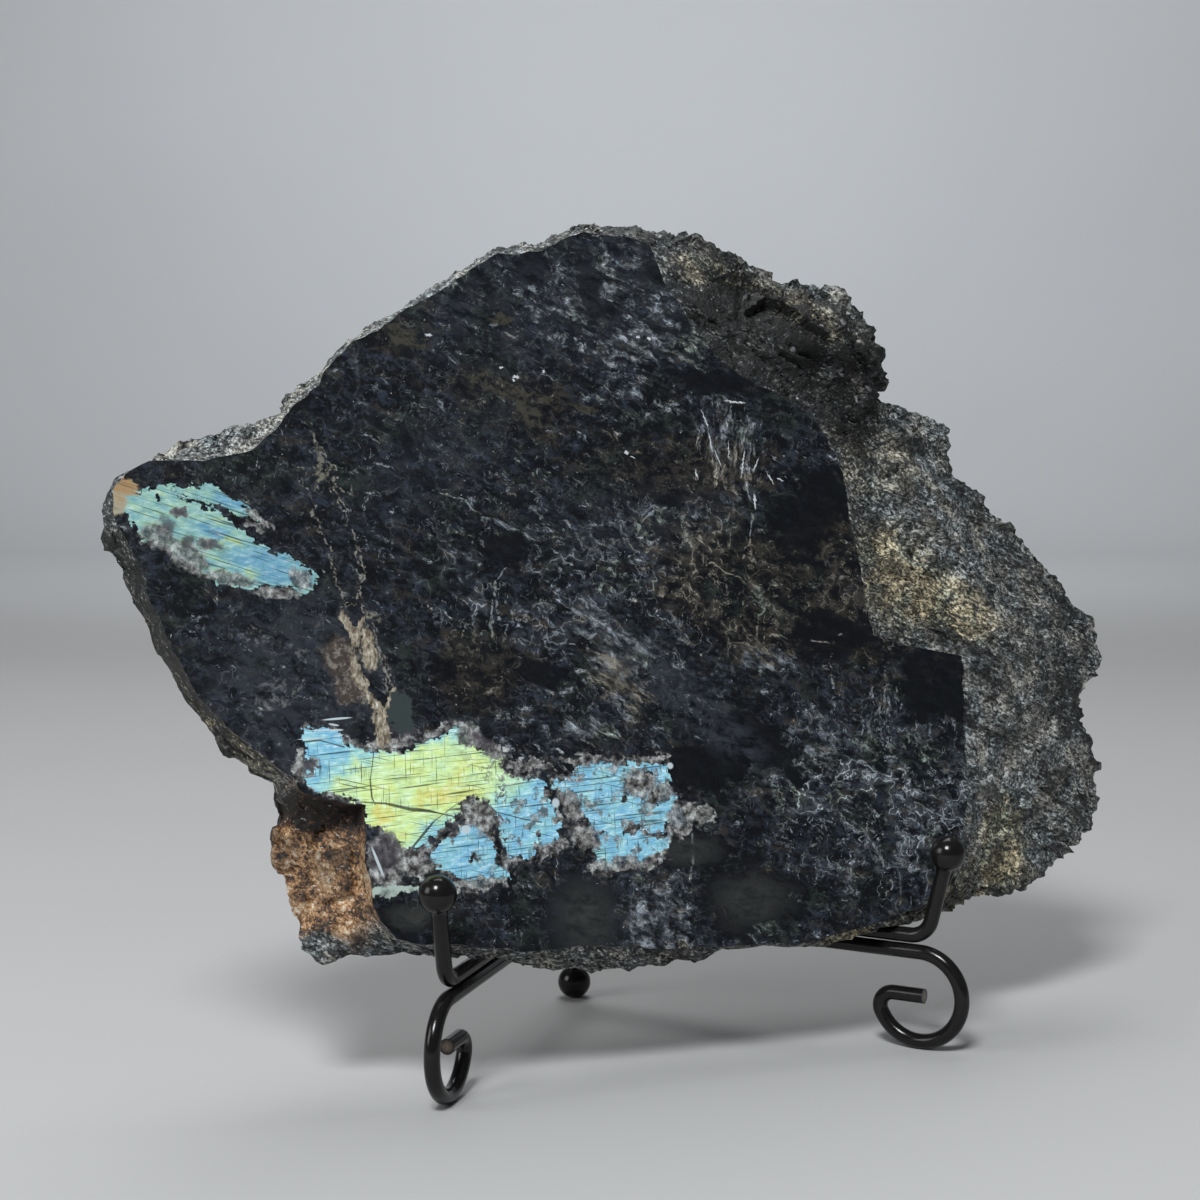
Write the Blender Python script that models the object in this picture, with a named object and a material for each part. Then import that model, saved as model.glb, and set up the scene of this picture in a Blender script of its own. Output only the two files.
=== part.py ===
# A polished dark stone slab that leans on a black wire display stand.
# Metres, +Z up, front towards -Y, origin on the table under the middle of the object.

import bpy
import numpy as np
from math import cos, radians, sin, tan

MM = 0.001

# Stand
WIRE_D = 4.75 * MM
BALL_D = 11.1 * MM
GAP = 0.3 * MM
LEG_ANGLE = radians(37.6)
FOOT_REACH = 126.2 * MM
SCROLL_R = 14.1 * MM
SCROLL_TURN = radians(155)
SCROLL_CURL_R = 4.4 * MM
SCROLL_TAIL = 10.5 * MM
STEM_REACH = 128.6 * MM
STEM_LEAN = radians(13.5)
STEM_BEND_R = 7.0 * MM
HOLDER_BALL_Z = 62.4 * MM
BACK_BALL_Z = 176.0 * MM
WIRE_START = 3.7 * MM
BALL_SEAT_R = 2.4 * MM
FOOT_FLAT_R = 1.7 * MM
BALL_TIP_R = 0.6 * MM
BALL_COUNT = 18
BALL_RINGS = 11

# Stone: the polished face leans back about a line near its lower edge
FACE_LEAN = radians(15)
FACE_FRONT_Y = -97.6 * MM
FACE_FRONT_Z = 40.0 * MM
FACE_MIDDLE = (0.0, 98.0)
SEAT_Z = 38.4
SEAT_MARGIN = 12.0
SEAT_HALF_WIDTH = 100.0
BACK_REST_Y = -6.0
BACK_REST_HALF_WIDTH = 14.0
LEAST_WALL = 8.0
# How far the wall draws in per mm of depth: everywhere, and more towards each side
DRAW_IN = 0.30
DRAW_IN_LEFT = 0.20
DRAW_IN_RIGHT = 0.25
DRAW_IN_BELOW = 0.16
DRAW_IN_ABOVE = 0.10
# How often the outline is averaged for the rim, the wall's back edge and the back
RIM_SOFTENING = 12
WALL_SOFTENING = 60
BACK_SOFTENING = 200
# Roughness: sizes of the lumps, how far each kind stands out, and how deep chips cut in
FULL_ROUGH_RIM = 30.0
BROAD_SIZE = 46.0
MEDIUM_SIZE = 23.0
LEDGE_SIZE = 34.0
BROAD_HEIGHT = 2.2
MEDIUM_HEIGHT = 2.0
LEDGE_HEIGHT = 2.4
LEDGE_SHARPNESS = 4.0
CHIP_DEPTH = 1.8
RIM_DROP = 0.4
EDGE_COUNT = 132
RIM_RINGS = 7
WALL_RINGS = 5
BACK_RINGS = 6

# Where the whole object's middle lies, seen from the foot of the back rod
CENTRE_X = 6.9 * MM
CENTRE_Y = -54.0 * MM

# Widest outline of the stone, clockwise from the left tip, in millimetres:
# across the face, up the face, and how far behind the face
OUTLINE = (
    (-166, 136, 6), (-162, 146, 6), (-153, 151, 8), (-138, 158, 8), (-122, 162, 9),
    (-112, 165, 9), (-106, 175, 9), (-99, 178, 8), (-90, 187, 7), (-73, 197, 6),
    (-56, 208, 6), (-39, 219, 6), (-24, 220, 6), (-11, 228, 8), (2, 228, 8),
    (20, 226, 10), (32, 227, 13), (46, 220, 16), (64, 214, 18), (86, 211, 16),
    (95, 201, 16), (98, 188, 17), (101, 180, 19), (97, 176, 20), (108, 174, 24),
    (122, 169, 26), (127, 166, 26), (125, 158, 27), (127, 149, 28), (139, 141, 29),
    (154, 125, 30), (167, 106, 30), (176, 99, 30), (181, 85, 30), (175, 78, 30),
    (168, 71, 30), (167, 62, 30), (172, 49, 30), (170, 37, 30), (165, 26, 29),
    (152, 18, 27), (140, 10, 26), (128, 7, 24), (115, 7, 20), (92, 2, 12),
    (72, -2, 5), (60, -3, 4), (45, -5, 4), (26, -3, 5), (12, -3, 6),
    (4, -6, 6), (-10, -5, 6), (-36, -5, 6), (-51, -2, 6), (-57, 0, 6),
    (-69, 2, 7), (-86, 4, 12), (-102, 4, 18), (-109, 3, 20), (-114, 9, 20),
    (-116, 24, 21), (-120, 36, 20), (-118, 47, 18), (-121, 56, 14), (-133, 65, 12),
    (-138, 73, 12), (-148, 88, 12), (-153, 101, 12), (-161, 120, 10), (-165, 128, 8),
)

# Edge of the polished face, clockwise from the left tip, in millimetres:
# across the face, up the face, and the step down to the broken rim
POLISHED_EDGE = (
    (-164, 135, 1), (-163, 141, 1), (-160, 145, 1), (-153, 149, 1), (-137, 149, 1),
    (-124, 152, 1), (-115, 159, 1), (-101, 172, 1), (-97, 180, 1), (-82, 189, 1),
    (-61, 202, 1), (-41, 214, 1), (-27, 216, 1), (-14, 222, 1), (6, 221, 1),
    (21, 220, 2), (37, 205, 2), (56, 185, 2), (63, 172, 2), (68, 155, 1),
    (70, 129, 1), (72, 102, 1), (73, 91, 1), (85, 87, 1), (105, 83, 2),
    (102, 62, 3), (102, 49, 2), (98, 27, 1), (89, 8, 1), (68, 2, 1),
    (54, -1, 1), (41, -3, 1), (3, -2, 1), (-20, 0, 1), (-33, 2, 1),
    (-53, 2, 1), (-72, 5, 1), (-91, 8, 3), (-97, 19, 6), (-98, 37, 7),
    (-97, 47, 8), (-115, 52, 5), (-117, 56, 2), (-129, 65, 1), (-148, 87, 1),
    (-151, 99, 1), (-157, 118, 1), (-162, 129, 1),
)

# Broken planes of the back: depth behind the face's middle in mm, and how much deeper
# each one gets per mm across and per mm up. The nearest one is the surface.
BACK_PLANES = (
    (54, 0.03, 0.02), (57, 0.17, 0.05), (64, -0.15, -0.05), (66, -0.05, -0.22),
    (60, 0.05, 0.25), (63, 0.12, -0.16), (64, -0.14, 0.14),
)


def clear_scene():
    for item in list(bpy.data.objects):
        bpy.data.objects.remove(item, do_unlink=True)


def make_material(name, colour, roughness, metallic=0.0):
    material = bpy.data.materials.new(name)
    material.use_nodes = True
    shader = material.node_tree.nodes["Principled BSDF"]
    shader.inputs["Base Color"].default_value = (*colour, 1.0)
    shader.inputs["Roughness"].default_value = roughness
    shader.inputs["Metallic"].default_value = metallic
    return material


def add_mesh(name, points, faces, material):
    mesh = bpy.data.meshes.new(name)
    mesh.from_pydata([tuple(p) for p in points], [], faces)
    mesh.materials.append(material)
    thing = bpy.data.objects.new(name, mesh)
    bpy.context.collection.objects.link(thing)
    return thing


def ring_faces(rings, count):
    """Quads between neighbouring closed rings of points, each ring one row."""
    faces = []
    for row in range(rings - 1):
        for i in range(count):
            j = (i + 1) % count
            faces.append((row * count + i, row * count + j,
                          (row + 1) * count + j, (row + 1) * count + i))
    return faces


def hash_grid(ix, iy, iz, seed):
    """A fixed number from 0 to 1 for each whole-number place."""
    n = (ix * 374761393 + iy * 668265263 + iz * 2147483647 + seed * 974634777) & 0xFFFFFFFF
    n = ((n ^ (n >> 13)) * 1274126177) & 0xFFFFFFFF
    n = (n ^ (n >> 16)) & 0xFFFF
    return n / 65535.0


def lumps(points, size, seed):
    """Smooth bumps from -1 to 1: random values on a grid, blended between its corners."""
    cell = points / size
    low = np.floor(cell).astype(np.int64)
    part = cell - low
    part = part * part * (3.0 - 2.0 * part)
    total = np.zeros(len(points))
    for dx in (0, 1):
        for dy in (0, 1):
            for dz in (0, 1):
                weight = np.abs(1 - dx - part[:, 0]) * np.abs(1 - dy - part[:, 1])
                weight = weight * np.abs(1 - dz - part[:, 2])
                total += weight * hash_grid(low[:, 0] + dx, low[:, 1] + dy, low[:, 2] + dz, seed)
    return total * 2.0 - 1.0


def polar(table, angles):
    """Reads an outline's distance from the face's middle, and its third value, at the angles."""
    across, up, third = np.array(table, dtype=float).T
    across = across - FACE_MIDDLE[0]
    up = up - FACE_MIDDLE[1]
    around = np.arctan2(up, across)
    reach = np.hypot(across, up)
    return (np.interp(angles, around, reach, period=2 * np.pi),
            np.interp(angles, around, third, period=2 * np.pi))


def soften(values, passes):
    """Evens out a closed row of values by averaging neighbours."""
    for _ in range(passes):
        values = (np.roll(values, 1) + 2 * values + np.roll(values, -1)) / 4
    return values


def even_angles(count):
    """Angles that cut the widest outline into equal lengths."""
    rows = np.array(OUTLINE, dtype=float)[:, :2]
    steps = np.hypot(*np.diff(np.vstack([rows, rows[:1]]), axis=0).T)
    along = np.concatenate([[0.0], np.cumsum(steps)])
    around = np.unwrap(np.arctan2(rows[:, 1] - FACE_MIDDLE[1], rows[:, 0] - FACE_MIDDLE[0]))
    around = np.append(around, around[0] - 2 * np.pi)
    return np.interp(np.linspace(0, along[-1], count, endpoint=False), along, around)


def plane_depth(across, up):
    """Depth of the back's broken planes: the least of all of them at a place on the face."""
    depths = [start + over * (across - FACE_MIDDLE[0]) + rise * (up - FACE_MIDDLE[1])
              for start, over, rise in BACK_PLANES]
    return np.min(depths, axis=0)


def stone_rings():
    """Rings of face coordinates (across, up, behind) in mm, from the face's middle to the back's.

    The face is flat out to the polished edge. A small step goes down there, and the broken
    rim falls back to the widest outline. The wall then draws in, its outline growing
    smoother, and the back follows its broken planes. Each ring comes with how rough it is
    and how much of that roughness may move the outline inwards.
    """
    angles = even_angles(EDGE_COUNT)
    edge_r, edge_step = polar(POLISHED_EDGE, angles)
    wide_r, wide_d = polar(OUTLINE, angles)
    edge_r = np.minimum(edge_r, wide_r - 1.0)
    soft_r = soften(wide_r, WALL_SOFTENING)
    heading = np.stack([np.cos(angles), np.sin(angles)], axis=1)
    right = np.clip(heading[:, 0], 0, 1)
    left = np.clip(-heading[:, 0], 0, 1)
    below = np.clip(-heading[:, 1], 0, 1)
    above = np.clip(heading[:, 1], 0, 1)
    widest = heading * wide_r[:, None] + np.array(FACE_MIDDLE)
    back_d = np.maximum(plane_depth(*widest.T), wide_d + LEAST_WALL)
    draw_in = DRAW_IN + DRAW_IN_LEFT * left + DRAW_IN_RIGHT * right
    draw_in += DRAW_IN_BELOW * below + DRAW_IN_ABOVE * above
    back_r = np.minimum(soft_r, wide_r + 3.0) - draw_in * (back_d - wide_d)
    rim_width = wide_r - edge_r
    rings = []

    def add_ring(reach, depth, rough, inward):
        flat = heading * reach[:, None] + np.array(FACE_MIDDLE)
        rings.append((np.column_stack([flat, depth]), rough, inward))

    flat_weight = np.zeros(EDGE_COUNT)
    add_ring(edge_r * 0.5, flat_weight, flat_weight, flat_weight)
    add_ring(edge_r, flat_weight, flat_weight, flat_weight)
    for k in range(1, RIM_RINGS + 1):
        s = (k / RIM_RINGS) ** 1.2
        reach = edge_r + rim_width * s
        even = np.minimum(soften(reach, RIM_SOFTENING), wide_r)
        reach = reach + (even - reach) * 2.4 * s * (1 - s)
        depth = edge_step * (1.0 - s) + wide_d * s ** 1.3
        rough = np.clip(rim_width / FULL_ROUGH_RIM, 0.15, 1.0) * min(1.0, 3.0 * s, 3.3 - 3.0 * s)
        add_ring(reach, depth, rough, flat_weight)
    for k in range(1, WALL_RINGS + 1):
        s = k / WALL_RINGS
        add_ring(wide_r + (back_r - wide_r) * s ** 1.5, wide_d + (back_d - wide_d) * s,
                 flat_weight + 0.3 + 0.7 * s, flat_weight + min(1.0, 2.0 * s))
    for k in range(1, BACK_RINGS + 1):
        keep = 1.0 - 0.94 * k / BACK_RINGS
        reach = (back_r + (soften(back_r, BACK_SOFTENING) - back_r) * (1 - keep)) * keep
        place = heading * reach[:, None] + np.array(FACE_MIDDLE)
        follow = min(1.0, 2.0 * k / BACK_RINGS)
        depth = back_d + (plane_depth(*place.T) - back_d) * follow
        add_ring(reach, depth, flat_weight + 1.2, flat_weight + keep)
    return rings


def roughen(points, rough, inward):
    """Moves rim, wall and back points by broad and medium lumps and by flat ledges, in mm."""
    broad = lumps(points, BROAD_SIZE, 3)
    medium = lumps(points, MEDIUM_SIZE, 8)
    ledges = np.tanh(LEDGE_SHARPNESS * lumps(points, LEDGE_SIZE, 15))
    moved = points.copy()
    moved[:, 2] += rough * (BROAD_HEIGHT * broad + MEDIUM_HEIGHT * medium + LEDGE_HEIGHT * ledges)
    moved[:, 2] = np.where(rough > 0, np.maximum(moved[:, 2], RIM_DROP), moved[:, 2])
    outward = points[:, :2] - np.array(FACE_MIDDLE)
    outward /= np.maximum(np.hypot(outward[:, 0], outward[:, 1]), 1.0)[:, None]
    cut = inward * CHIP_DEPTH * (2.0 - medium - ledges)
    moved[:, :2] -= outward * cut[:, None]
    return moved


def face_to_world(points):
    """Face coordinates in mm to metres in the stand's frame: the face leans back."""
    across, up, behind = (points * MM).T
    y = FACE_FRONT_Y + up * sin(FACE_LEAN) + behind * cos(FACE_LEAN)
    z = FACE_FRONT_Z + up * cos(FACE_LEAN) - behind * sin(FACE_LEAN)
    return np.column_stack([across, y, z])


def settle(points):
    """Flattens the two spots that rest: the seat on the wires and the one on the back ball."""
    x, y, z = points.T
    behind_wires = y > -np.abs(x) / tan(LEG_ANGLE) - SEAT_MARGIN * MM
    seat = behind_wires & (np.abs(x) < SEAT_HALF_WIDTH * MM)
    z = np.where(seat, np.maximum(z, SEAT_Z * MM), z)
    near_rod = (np.abs(x) < BACK_REST_HALF_WIDTH * MM) & (z < BACK_BALL_Z + BALL_D)
    y = np.where(near_rod, np.minimum(y, BACK_REST_Y * MM), y)
    return np.column_stack([x, y, z])


def build_stone(material):
    rings = stone_rings()
    points = np.vstack([ring for ring, _, _ in rings])
    rough = np.concatenate([weight for _, weight, _ in rings])
    inward = np.concatenate([weight for _, _, weight in rings])
    points = roughen(points, rough, inward)
    last = points[-EDGE_COUNT:].mean(axis=0)
    front = np.array([*FACE_MIDDLE, 0.0])
    points = settle(face_to_world(np.vstack([points, last, front])))
    faces = ring_faces(len(rings), EDGE_COUNT)
    back, middle = len(points) - 2, len(points) - 1
    start = (len(rings) - 1) * EDGE_COUNT
    for i in range(EDGE_COUNT):
        j = (i + 1) % EDGE_COUNT
        faces.append((middle, j, i))
        faces.append((back, start + i, start + j))
    return add_mesh("stone", points, faces, material)


def arc(centre, radius, start, end, count):
    """Points on an arc in a leg's upright plane: (reach, height)."""
    return [(centre[0] + radius * cos(a), centre[1] + radius * sin(a))
            for a in np.linspace(start, end, count)]


def foot_path():
    """Leg along the table, then a scroll that rolls down, under and back to a short tail."""
    top = WIRE_D / 2 + 2 * SCROLL_R
    hub = (FOOT_REACH, WIRE_D / 2 + SCROLL_R)
    path = [(WIRE_START, top)]
    path += arc(hub, SCROLL_R, radians(90), -SCROLL_TURN, 25)
    inner = SCROLL_R - SCROLL_CURL_R
    curl = (hub[0] + inner * cos(-SCROLL_TURN), hub[1] + inner * sin(-SCROLL_TURN))
    path += arc(curl, SCROLL_CURL_R, -SCROLL_TURN, radians(-270), 8)[1:]
    path.append((curl[0] + SCROLL_TAIL, curl[1] + SCROLL_CURL_R))
    return path


def holder_height():
    return WIRE_D / 2 + 2 * SCROLL_R + WIRE_D + GAP


def holder_path():
    """Wire on top of the leg, bent up and a little outwards in front of the stone."""
    z = holder_height()
    turn = radians(90) - STEM_LEAN
    hub = (STEM_REACH - STEM_BEND_R * tan(turn / 2), z + STEM_BEND_R)
    path = [(WIRE_START, z)]
    path += arc(hub, STEM_BEND_R, radians(-90), radians(-90) + turn, 9)
    reach, height = holder_ball_place()
    stop = ball_seat_depth()
    path.append((reach - sin(STEM_LEAN) * stop, height - cos(STEM_LEAN) * stop))
    return path


def holder_ball_place():
    """Reach and height of a holder ball's middle, in line with its stem."""
    rise = HOLDER_BALL_Z - holder_height()
    return STEM_REACH + rise * tan(STEM_LEAN), HOLDER_BALL_Z


def ball_seat_depth():
    """How far from a ball's middle its wire ends."""
    return (BALL_D ** 2 / 4 - BALL_SEAT_R ** 2) ** 0.5 + GAP


def add_wire(name, path, side, material):
    """A round wire along a path of (reach, height) points in the leg's upright plane."""
    curve = bpy.data.curves.new(name, "CURVE")
    curve.dimensions = "3D"
    curve.bevel_depth = WIRE_D / 2
    curve.bevel_resolution = 3
    curve.use_fill_caps = True
    curve.materials.append(material)
    spline = curve.splines.new("POLY")
    spline.points.add(len(path) - 1)
    for point, (reach, height) in zip(spline.points, path):
        point.co = (side * reach * sin(LEG_ANGLE), -reach * cos(LEG_ANGLE), height, 1.0)
    thing = bpy.data.objects.new(name, curve)
    bpy.context.collection.objects.link(thing)
    return thing


def add_ball(name, place, lean_axis, lean, top_flat, bottom_flat, material):
    """A turned ball, with a flat of the given radius above or below where a wire is welded
    on or where it stands. An end whose flat is BALL_TIP_R looks round.
    """
    radius = BALL_D / 2
    first = np.arcsin(top_flat / radius)
    final = np.pi - np.arcsin(bottom_flat / radius)
    turns = np.linspace(0, 2 * np.pi, BALL_COUNT, endpoint=False)
    points = [(radius * sin(p) * cos(t), radius * sin(p) * sin(t), radius * cos(p))
              for p in np.linspace(first, final, BALL_RINGS) for t in turns]
    faces = [tuple(reversed(face)) for face in ring_faces(BALL_RINGS, BALL_COUNT)]
    start = (BALL_RINGS - 1) * BALL_COUNT
    faces.append(tuple(range(BALL_COUNT)))
    faces.append(tuple(reversed(range(start, start + BALL_COUNT))))
    ball = add_mesh(name, points, faces, material)
    ball.location = place
    ball.rotation_mode = "AXIS_ANGLE"
    ball.rotation_axis_angle = (lean, *lean_axis)
    return ball


def build_stand(material):
    for label, side in (("left", -1), ("right", 1)):
        add_wire(label + "_foot_wire", foot_path(), side, material)
        add_wire(label + "_holder_wire", holder_path(), side, material)
        reach, height = holder_ball_place()
        outward = (side * sin(LEG_ANGLE), -cos(LEG_ANGLE))
        place = (outward[0] * reach, outward[1] * reach, height)
        lean_axis = (-outward[1], outward[0], 0.0)
        add_ball(label + "_holder_ball", place, lean_axis, STEM_LEAN, BALL_TIP_R, BALL_SEAT_R,
                 material)
    foot_z = (BALL_D ** 2 / 4 - FOOT_FLAT_R ** 2) ** 0.5
    add_ball("rear_foot_ball", (0, 0, foot_z), (0, 0, 1), 0.0, BALL_SEAT_R, FOOT_FLAT_R, material)
    add_ball("back_rest_ball", (0, 0, BACK_BALL_Z), (0, 0, 1), 0.0, BALL_TIP_R, BALL_SEAT_R,
             material)
    rod = [(0, foot_z + ball_seat_depth()), (0, BACK_BALL_Z - ball_seat_depth())]
    add_wire("back_rest_rod", rod, 1, material)


def centre_object():
    """Hangs every piece on one empty so that the origin lies under the object's middle."""
    middle = bpy.data.objects.new("middle", None)
    bpy.context.collection.objects.link(middle)
    middle.location = (-CENTRE_X, -CENTRE_Y, 0)
    for item in bpy.data.objects:
        if item is not middle:
            item.parent = middle


clear_scene()
stone_finish = make_material("polished_dark_stone", (0.03, 0.034, 0.04), 0.3)
wire_finish = make_material("black_gloss_paint", (0.012, 0.012, 0.013), 0.22)
build_stone(stone_finish)
build_stand(wire_finish)
centre_object()
bpy.context.view_layer.update()
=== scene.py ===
"""Finish for a polished slab of dark stone that leans on a black wire display stand."""
from math import cos, pi, radians, sin, tan

import bpy
import numpy as np
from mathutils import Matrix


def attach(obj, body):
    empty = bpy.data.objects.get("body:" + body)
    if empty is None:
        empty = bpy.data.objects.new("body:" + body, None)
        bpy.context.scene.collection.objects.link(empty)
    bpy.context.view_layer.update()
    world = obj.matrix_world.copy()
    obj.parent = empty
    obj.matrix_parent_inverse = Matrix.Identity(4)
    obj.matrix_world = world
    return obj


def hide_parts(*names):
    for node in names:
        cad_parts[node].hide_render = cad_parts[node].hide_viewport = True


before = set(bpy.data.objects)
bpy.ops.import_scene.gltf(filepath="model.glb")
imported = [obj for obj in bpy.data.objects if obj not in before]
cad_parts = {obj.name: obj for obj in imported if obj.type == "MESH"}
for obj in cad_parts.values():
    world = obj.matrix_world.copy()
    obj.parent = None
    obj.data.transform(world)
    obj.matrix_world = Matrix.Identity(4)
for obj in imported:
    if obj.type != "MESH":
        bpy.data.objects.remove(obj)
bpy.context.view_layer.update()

MM = 0.001

# Stand, in millimetres
WIRE_R = 2.375
BALL_R = 5.55
LEG_ANGLE = radians(37.6)
FOOT_REACH = 126.2
SCROLL_R = 14.1
SCROLL_TURN = radians(155)
SCROLL_CURL_R = 4.4
SCROLL_TAIL = 10.5
STEM_REACH = 128.6
STEM_LEAN = radians(13.5)
STEM_BEND_R = 7.0
HOLDER_BALL_Z = 62.4
BACK_BALL_Z = 176.0
WIRE_GAP = 0.3
WIRE_START = 1.6
FOOT_FLAT_R = 1.7
FOOT_Z = (BALL_R ** 2 - FOOT_FLAT_R ** 2) ** 0.5
LEG_Z = WIRE_R + 2 * SCROLL_R
HOLDER_Z = LEG_Z + 2 * WIRE_R + WIRE_GAP

# Welds: how much a wire swells at its start, as a share of its radius, and how far along.
# A ball's neck: its radius, the radius on the ball where its hollow starts, and its rise.
WELD_SWELL = 0.28
WELD_REACH = 2.6
NECK_R = WIRE_R * 1.04
NECK_START_R = BALL_R * 0.52
NECK_RISE = 0.8

# Points round a wire, round a ball and down a ball's profile
WIRE_SIDES = 28
BALL_SIDES = 40
BALL_ROWS = 41

# Stone: the polished face leans back about a line near its lower edge, in millimetres
FACE_LEAN = radians(15)
FACE_FRONT_Y = -97.6
FACE_FRONT_Z = 40.0
FACE_MIDDLE = (0.0, 98.0)
SEAT_Z = 38.4
SEAT_MARGIN = 12.0
SEAT_HALF_WIDTH = 100.0
BACK_REST_Y = -6.0
BACK_REST_HALF_WIDTH = 14.0
LEAST_WALL = 8.0
CENTRE = (6.9, -54.0)

# Widest outline of the stone, clockwise from the left tip, in millimetres:
# across the face, up the face, and how far behind the face
OUTLINE = (
    (-166, 136, 6), (-162, 146, 6), (-153, 151, 8), (-138, 158, 8), (-122, 162, 9),
    (-112, 165, 9), (-106, 175, 9), (-99, 178, 8), (-90, 187, 7), (-73, 197, 6),
    (-56, 208, 6), (-39, 219, 6), (-24, 220, 6), (-11, 228, 8), (2, 228, 8),
    (20, 226, 10), (32, 227, 13), (46, 220, 16), (64, 214, 18), (86, 211, 16),
    (95, 201, 16), (98, 188, 17), (101, 180, 19), (97, 176, 20), (108, 174, 24),
    (122, 169, 26), (127, 166, 26), (125, 158, 27), (127, 149, 28), (139, 141, 29),
    (154, 125, 30), (167, 106, 30), (176, 99, 30), (181, 85, 30), (175, 78, 30),
    (168, 71, 30), (167, 62, 30), (172, 49, 30), (170, 37, 30), (165, 26, 29),
    (152, 18, 27), (140, 10, 26), (128, 7, 24), (115, 7, 20), (92, 2, 12),
    (72, -2, 5), (60, -3, 4), (45, -5, 4), (26, -3, 5), (12, -3, 6),
    (4, -6, 6), (-10, -5, 6), (-36, -5, 6), (-51, -2, 6), (-57, 0, 6),
    (-69, 2, 7), (-86, 4, 12), (-102, 4, 18), (-109, 3, 20), (-114, 9, 20),
    (-116, 24, 21), (-120, 36, 20), (-118, 47, 18), (-121, 56, 14), (-133, 65, 12),
    (-138, 73, 12), (-148, 88, 12), (-153, 101, 12), (-161, 120, 10), (-165, 128, 8),
)

# Edge of the polished face, clockwise from the left tip, in millimetres:
# across the face, up the face, and the step down to the broken rim
POLISHED_EDGE = (
    (-164, 135, 1), (-163, 141, 1), (-160, 145, 1), (-153, 149, 1), (-137, 149, 1),
    (-124, 152, 1), (-115, 159, 1), (-101, 172, 1), (-97, 180, 1), (-82, 189, 1),
    (-61, 202, 1), (-41, 214, 1), (-27, 216, 1), (-14, 222, 1), (6, 221, 1),
    (10, 219, 1), (14, 206, 1), (22, 192, 1), (31, 180, 1), (46, 171, 1),
    (60, 163, 1), (68, 150, 1),
    (70, 129, 1), (72, 102, 1), (73, 91, 1), (85, 87, 1), (105, 83, 2),
    (102, 62, 3), (102, 49, 2), (98, 27, 1), (89, 8, 1), (68, 2, 1),
    (54, -1, 1), (41, -3, 1), (3, -2, 1), (-20, 0, 1), (-33, 2, 1),
    (-53, 2, 1), (-72, 5, 1), (-91, 8, 3), (-97, 19, 6), (-98, 37, 7),
    (-97, 47, 8), (-115, 52, 5), (-117, 56, 2), (-129, 65, 1), (-148, 87, 1),
    (-151, 99, 1), (-157, 118, 1), (-162, 129, 1),
)

# Broken planes of the back: depth behind the face's middle in mm, and how much deeper
# each one gets per mm across and per mm up. The nearest one is the surface.
BACK_PLANES = (
    (54, 0.03, 0.02), (57, 0.17, 0.05), (64, -0.15, -0.05), (66, -0.05, -0.22),
    (60, 0.05, 0.25), (63, 0.12, -0.16), (64, -0.14, 0.14),
)

# Points round a full ring of the stone, and how its rings are shared out
AROUND = 880
FACE_RINGS = 28
RIM_RINGS = 58
WALL_RINGS = 18
BACK_RINGS = 46

# Gaussian widths, as shares of the way round, that even out the outline
RIM_SOFTNESS = 0.0186
WALL_SOFTNESS = 0.0415
BACK_SOFTNESS = 0.0758

# How much the wall draws in for each mm that it goes back: everywhere, and how much more
# at the left, right, bottom and top
DRAW_IN = (0.30, 0.20, 0.25, 0.16, 0.10)

# Bumps of the outlines, then grains and flat chips of the broken parts: size in mm, seed and
# height in mm
NIBBLES = ((9.0, 41, 0.9), (4.3, 42, 0.54), (2.1, 43, 0.27))
EDGE_WAVES = ((6.0, 44, 0.7), (2.4, 45, 0.45))
GRAINS = ((3.1, 25, 0.3), (1.6, 26, 0.2))

CHIPS = ((11.0, 22, 1.1), (5.0, 23, 0.6), (2.6, 24, 0.3))

# Layers of the broken parts: turn in degrees, pitch in mm, seed, height in mm, and how much
# higher they are on the blades at the upper right
LAYERS = ((-28, 11.0, 31, 1.1, 1.5), (-22, 4.6, 34, 0.7, 0.6))

# The blades, and the broken corner, which has no layers: across, up and half sizes in mm,
# and turn in degrees
BLADES = (60, 190, 50, 34, -30)
CRUST = (-106, 25, 22, 34)

# Where the rusty finish ends: most across and most up the face, and most behind it
RUSTY_CORNER = (-84, 64, 60)

# How far past the polished edge the stains of the rock reach, in mm
STAIN_REACH = 62.0

# Angles past which an edge is drawn sharp, on the stone and on a wire's cut end
STONE_SHARP = radians(38)
WIRE_SHARP = radians(50)

# Colours of the stone, as the share of red, green and blue light that it gives back. Where
# there are two, they run from dark to pale.
DEEP_BLACK = (0.0048, 0.0057, 0.0076)
BLUE_BLACK = (0.025, 0.0315, 0.046)
HAZE_BLUE = (0.033, 0.038, 0.048)
BROWN_BLACK = (0.031, 0.028, 0.024)
GREEN_BLACK = (0.022, 0.029, 0.026)
FIBRE_GREY = (0.345, 0.385, 0.43)
FIBRE_BROWN = (0.35, 0.32, 0.265)
FIBRE_GREEN = (0.28, 0.325, 0.29)
# White of the stone's white crystals, also the colour of painted glints
MINERAL_AND_GLINT_WHITE = (0.62, 0.65, 0.68)
OLIVE = (0.050, 0.047, 0.036)
SMOOTH_OLIVE = ((0.016, 0.018, 0.020), (0.046, 0.049, 0.046))
# The flash colours are painted sheen: the stone's flash is light reflected from thin layers inside
# it, seen from some angles only, and here it is put into the colour.
FLASH_BLUE = (0.22, 0.52, 0.72)
FLASH_CYAN = (0.365, 0.69, 0.66)
FLASH_GREEN = (0.56, 0.80, 0.46)
FLASH_YELLOW = (0.69, 0.88, 0.36)
FLASH_ORANGE = (0.73, 0.66, 0.17)
FLASH_PALE = (0.62, 0.74, 0.70)
FLASH_STRIP = (0.42, 0.51, 0.46)
CRYSTAL_MAUVE = (0.060, 0.054, 0.066)
NEEDLE_WHITE = (0.55, 0.64, 0.68)
CRACK_DARK = (0.020, 0.019, 0.014)
TIP_TAN = ((0.36, 0.34, 0.25), (0.36, 0.235, 0.12))
OVAL_GREY = (0.040, 0.054, 0.054)
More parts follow.
